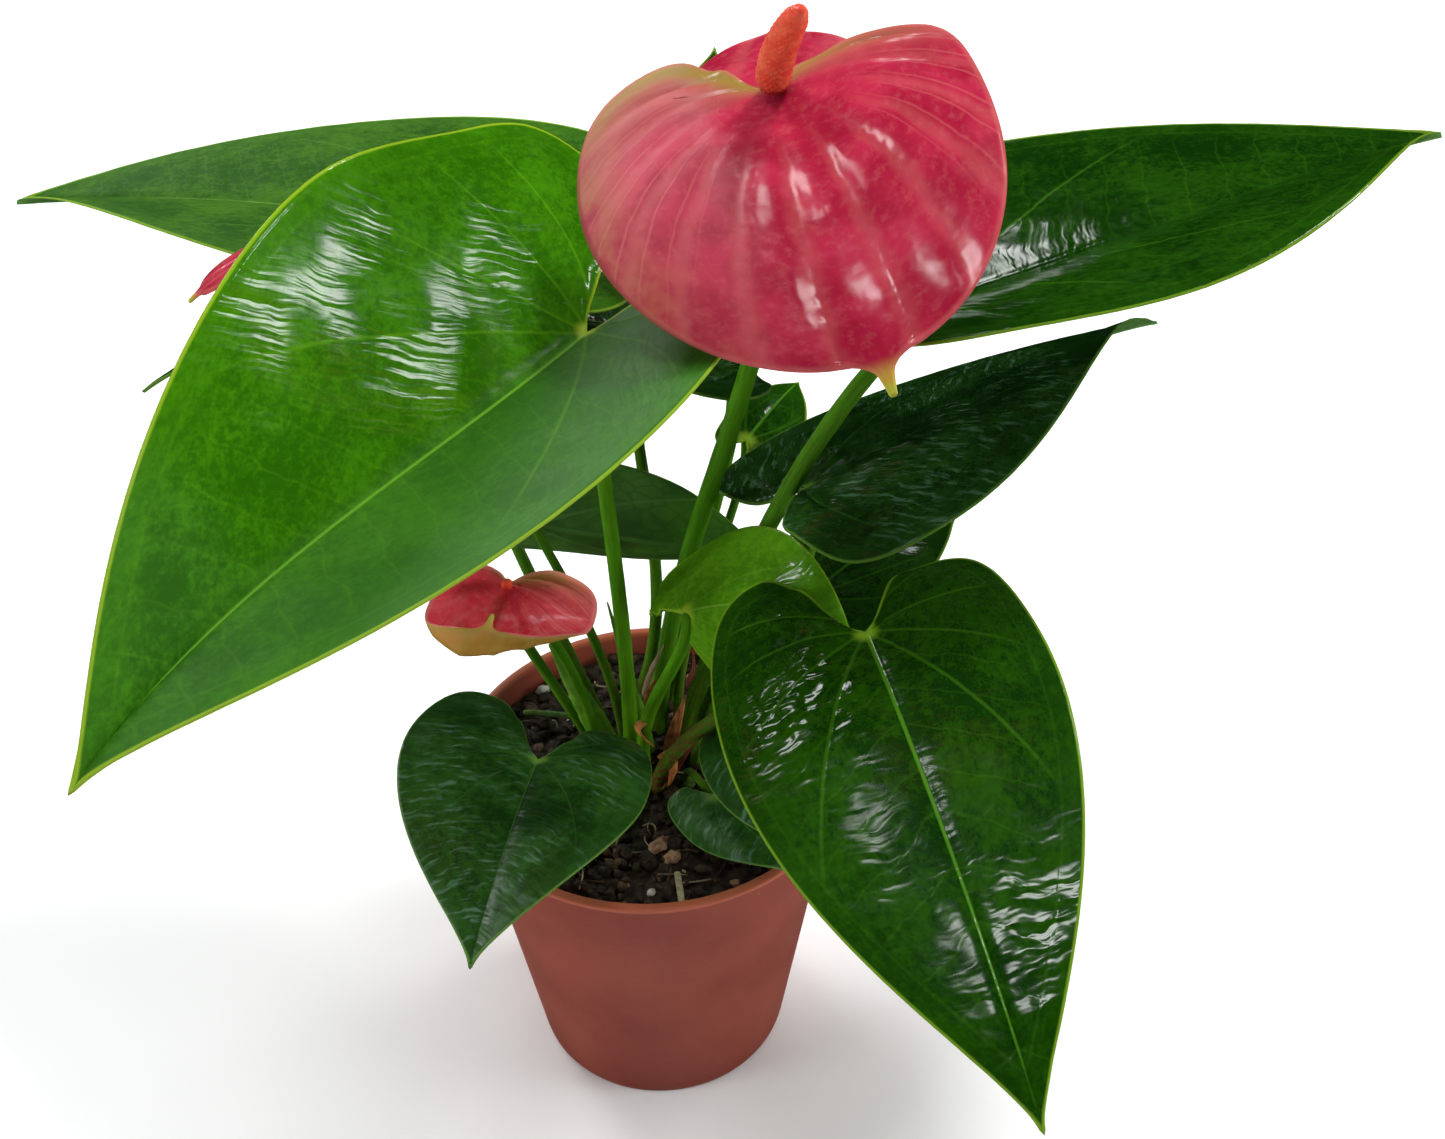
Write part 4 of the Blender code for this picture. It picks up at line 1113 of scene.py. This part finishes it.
def make_soil(looks):
    """The peat: a crumbly top with crumbs, bark, perlite, straw and fibres lying on it."""
    rng = random.Random(4)
    clear = WALL + GAP
    edge = wall_radius(SOIL_TOP - 2, clear - BAND_STEP)
    rings = [(wall_radius(FLOOR, clear), FLOOR + GAP),
             (wall_radius(BAND_BOTTOM - 0.5, clear), BAND_BOTTOM - 0.5),
             (wall_radius(BAND_BOTTOM + 1, clear - 0.4), BAND_BOTTOM + 1.5),
             (edge, SOIL_TOP - 2)]
    points, faces = lathe(rings, POT_SIDES)
    faces.pop()
    low = len(points) - POT_SIDES
    for share in np.linspace(1.0, 0.02, PEAT_RINGS):
        start = len(points)
        for turn in turns(POT_SIDES):
            x, y = around(share * edge, turn)
            crumb = 0.55 * noise.noise(Vector((x * 0.45, y * 0.45, 2.0)))
            crumb += 0.35 * noise.noise(Vector((x, y, 5.0)))
            points.append((x, y, soil_height(x, y) + 0.9 * crumb - 0.3))
        faces += band(low, start, POT_SIDES)
        low = start
    faces.append(tuple(range(low, len(points))))
    shapes = [one_look(np.array(points), faces, PEAT)]
    for _ in range(CRUMB_COUNT):
        turn, share = rng.uniform(0, 2 * math.pi), math.sqrt(rng.uniform(0, 1))
        size = rng.choice(CRUMB_SIZES) * rng.uniform(0.7, 1.2)
        x, y = around((edge - size) * share, turn)
        squash = (rng.uniform(0.7, 1.6), rng.uniform(0.6, 1.1), rng.uniform(0.5, 0.9))
        lump = chunk(rng, (x, y, soil_height(x, y) + 0.1 * size), size, squash)
        shapes.append(one_look(*lump, FIBRE if rng.random() < FIBROUS_SHARE else PEAT))
    for x, y, size, slot, squash in SOIL_BITS:
        lump = chunk(rng, (x, y, soil_height(x, y) + 0.45 * size), size, squash, 2)
        shapes.append(one_look(*lump, slot))
    for start, end, radius, slot in SOIL_STICKS:
        path = bezier(start, np.array(start) + (0, 0, 0.8), np.array(end) + (0, 0, 0.8), end, 12)
        shapes.append(tube(path, [radius] * len(path), [0.6 * radius] * len(path), 8, slot=slot))
    shape = merge(shapes + peat_fibres(edge))
    place_piece(mesh_object("peat_fine", looks, *shape), "peat", "soil")


# Lights, camera and stage

def area(name, aim_from, distance, size, power):
    """A panel at an azimuth from +Y towards +X and an elevation, aimed at the plant."""
    light = bpy.data.lights.new(name, "AREA")
    light.shape = "RECTANGLE"
    light.size, light.size_y = size
    light.energy = power
    made = bpy.data.objects.new(name, light)
    bpy.context.scene.collection.objects.link(made)
    azimuth, elevation = (math.radians(a) for a in aim_from)
    ahead = Vector((math.sin(azimuth) * math.cos(elevation), math.cos(azimuth) * math.cos(elevation),
                    math.sin(elevation)))
    made.location = Vector(AIM_AT) * MM + ahead * distance
    made.rotation_euler = ahead.to_track_quat("Z", "Y").to_euler()
    return made


def make_camera():
    """The photograph's camera, turned by its azimuth, dip and roll."""
    lens = bpy.data.cameras.new("camera")
    lens.sensor_width = SENSOR_MM
    lens.lens = SENSOR_MM * FOCAL_PIXELS / PHOTO_WIDTH
    lens.clip_start = 0.01
    camera = bpy.data.objects.new("camera", lens)
    bpy.context.scene.collection.objects.link(camera)
    azimuth, dip, roll = (math.radians(a) for a in CAMERA_TURN)
    turned = (Matrix.Rotation(-azimuth, 4, "Z") @ Matrix.Rotation(math.pi / 2 - dip, 4, "X")
              @ Matrix.Rotation(roll, 4, "Z"))
    camera.matrix_world = Matrix.Translation(Vector(CAMERA_AT) * MM) @ turned
    bpy.context.scene.camera = camera


def make_stage():
    """A pale floor, a soft bright surround and the studio lights."""
    far = FLOOR_REACH
    look = Look("pale floor", (0.96, 0.96, 0.96))
    look.paint(look.noise(look.place_mm(), 0.004, 2), (0.98, 0.98, 0.98))
    corners = [(-far, -far, 0), (far, -far, 0), (far, far, 0), (-far, far, 0)]
    paint = look.finish(Roughness=0.9, Specular_IOR_Level=0.0)
    floor = mesh_object("floor", [paint], corners, [(0, 1, 2, 3)])
    floor.visible_glossy = False
    world = bpy.data.worlds.new("surround")
    bpy.context.scene.world = world
    world.use_nodes = True
    world.cycles_visibility.glossy = False
    sky = Nodes(world.node_tree)
    back = sky.tree.nodes["Background"]
    across = sky.parts(sky.node("TexCoord", {}).outputs["Generated"])[1]
    slope = sky.node("MapRange", dict(enumerate((across, *SKY_SLOPE))))
    sky.put(back.inputs["Strength"], slope.outputs[0])
    sky.put(back.inputs["Color"], SKY_COLOUR)
    for panel in PANELS:
        area(*panel)
    for aim_from, size, power in FILLS:
        area("fill", aim_from, FILL_DISTANCE, (size, size), power).visible_glossy = False


def make_plant():
    """Every leaf, bloom and sheath with its looks."""
    blades = {
        # This look's bright green is partly the leaf's own colour and partly painted light, standing for
        # light from above shining through the blade
        "young_lit": leaf_look("young leaf", (0.018, 0.102, 0.001), (0.044, 0.192, 0.002), (0.14, 0.38, 0.01),
                           (0.34, 0.50, 0.02), gloss=0.12, shine=0.35, blister=0.1, slant=1.35,
                           wet=dict(lobe=-2.0, end=75.0, point=300.0, crinkle=0.0, dull=0.55, painted_shade=0.4)),
        "fresh": leaf_look("fresh leaf", (0.065, 0.22, 0.004), (0.13, 0.36, 0.010), (0.22, 0.48, 0.03),
                           (0.36, 0.52, 0.03), gloss=0.13, blister=0.35, fine_veins=0.6),
        "satin": leaf_look("satin leaf", (0.014, 0.072, 0.003), (0.045, 0.145, 0.006), (0.12, 0.30, 0.03),
                           (0.26, 0.44, 0.04), gloss=0.6, shine=0.05, blister=0.2),
        "green": leaf_look("leaf", (0.003, 0.024, 0.001), (0.013, 0.066, 0.002), (0.07, 0.24, 0.01),
                           (0.20, 0.36, 0.02), gloss=0.14, blister=0.12),
        "puckered": leaf_look("puckered leaf", (0.003, 0.026, 0.001), (0.014, 0.068, 0.001),
                              (0.08, 0.26, 0.01), (0.22, 0.40, 0.02), gloss=0.09, shine=0.4, blister=0.3,
                              slant=0.0,
                              wet=dict(lobe=1.0, end=12.0, point=50.0, crinkle=1.5, dull=0.2, painted_shade=0.0)),
        # This look's pale streaks are painted sheen
        "small": leaf_look("small leaf", (0.006, 0.034, 0.004), (0.028, 0.108, 0.012), (0.06, 0.19, 0.03),
                           (0.14, 0.28, 0.04), gloss=0.32, shine=0.35, blister=0.3, fine_veins=0.5,
                           streaks=0.75),
        # This look's pale streaks are painted sheen
        "old": leaf_look("old leaf", (0.004, 0.024, 0.003), (0.015, 0.070, 0.007), (0.05, 0.17, 0.02),
                         (0.12, 0.26, 0.03), gloss=0.16, blister=0.3, streaks=0.65),
    }
    under = under_look("leaf underside", (0.034, 0.125, 0.010), (0.068, 0.215, 0.018), (0.09, 0.25, 0.04))
    under_young = under_look("young underside", (0.06, 0.20, 0.006), (0.10, 0.30, 0.012), (0.16, 0.38, 0.03))
    stem = stalk_look("petiole", (0.035, 0.135, 0.004), (0.07, 0.24, 0.008), (0.11, 0.045, 0.02), 0.7)
    stem_red = stalk_look("red petiole", (0.035, 0.12, 0.006), (0.06, 0.19, 0.010), (0.13, 0.032, 0.018), 1.4)
    stem_young = stalk_look("young petiole", (0.05, 0.19, 0.003), (0.085, 0.29, 0.006),
                            (0.16, 0.10, 0.02), 0.3)
    for number, (name, spec) in enumerate(LEAVES.items()):
        age = AGES.get(name, "green")
        if age in ("young_lit", "fresh"):
            looks, slot = [blades[age], under_young, stem_young], "young_leaf"
        else:
            looks, slot = [blades[age], under, stem_red if age == "puckered" else stem], "leaf"
        make_leaf(name, spec, looks, slot, 0.9 * number, number + 1)

    bloom = spathe_look("spathe", (0.34, 0.008, 0.034), (0.46, 0.020, 0.058), (0.56, 0.13, 0.12),
                        (0.28, 0.21, 0.03), gloss=0.19)
    bloom_back = spathe_look("spathe back", (0.52, 0.04, 0.07), (0.66, 0.08, 0.12), (0.75, 0.22, 0.20),
                             (0.34, 0.26, 0.05), gloss=0.35)
    faded = spathe_look("faded spathe", (0.64, 0.025, 0.06), (0.82, 0.07, 0.11), (0.88, 0.28, 0.26),
                        (0.34, 0.26, 0.03), gloss=0.22)
    faded_back = spathe_look("faded spathe back", (0.30, 0.15, 0.015), (0.46, 0.22, 0.04), (0.40, 0.30, 0.06),
                             (0.16, 0.17, 0.01), gloss=0.35)
    stalk = stalk_look("bloom stalk", (0.04, 0.17, 0.003), (0.075, 0.26, 0.006), (0.14, 0.07, 0.02), 0.35)
    fresh = {"spathe": [bloom, bloom_back], "spadix": [spadix_look()], "stalk": [stalk]}
    aged = {**fresh, "spathe": [faded, faded_back]}
    for number, (name, spec) in enumerate(BLOOMS.items()):
        make_bloom(name, spec, aged if name == "flower_3" else fresh, 1.3 * number, number + 30)

    sheath_looks = {"green_sheath": paper_look("green sheath", (0.07, 0.22, 0.008), (0.16, 0.38, 0.02)),
                    "dry_sheath": paper_look("dry sheath", (0.16, 0.04, 0.012), (0.55, 0.22, 0.07))}
    for number, (name, slot, *spec) in enumerate(SHEATHS):
        make_sheath(name, sheath_looks[slot], slot, number + 1.0, *spec)


def main():
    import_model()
    bpy.context.scene.view_settings.view_transform = "Standard"
    make_camera()
    make_stage()
    make_pot(pot_look())
    make_soil([crumb_look("peat", (0.012, 0.008, 0.006), (0.065, 0.042, 0.028)),
               crumb_look("peat fibre", (0.05, 0.027, 0.015), (0.17, 0.095, 0.05)),
               crumb_look("bark", (0.22, 0.09, 0.05), (0.50, 0.30, 0.18)),
               crumb_look("perlite", (0.50, 0.46, 0.40), (0.75, 0.72, 0.66)),
               crumb_look("straw", (0.24, 0.20, 0.10), (0.46, 0.40, 0.24)),
               crumb_look("green bit", (0.05, 0.12, 0.02), (0.12, 0.22, 0.05))])
    make_scraps([paper_look("orange scrap", (0.30, 0.09, 0.02), (0.62, 0.26, 0.07)),
                 paper_look("tan scrap", (0.34, 0.20, 0.10), (0.56, 0.38, 0.22)),
                 paper_look("red scrap", (0.10, 0.018, 0.012), (0.24, 0.05, 0.03))])
    make_plant()
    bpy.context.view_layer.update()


main()
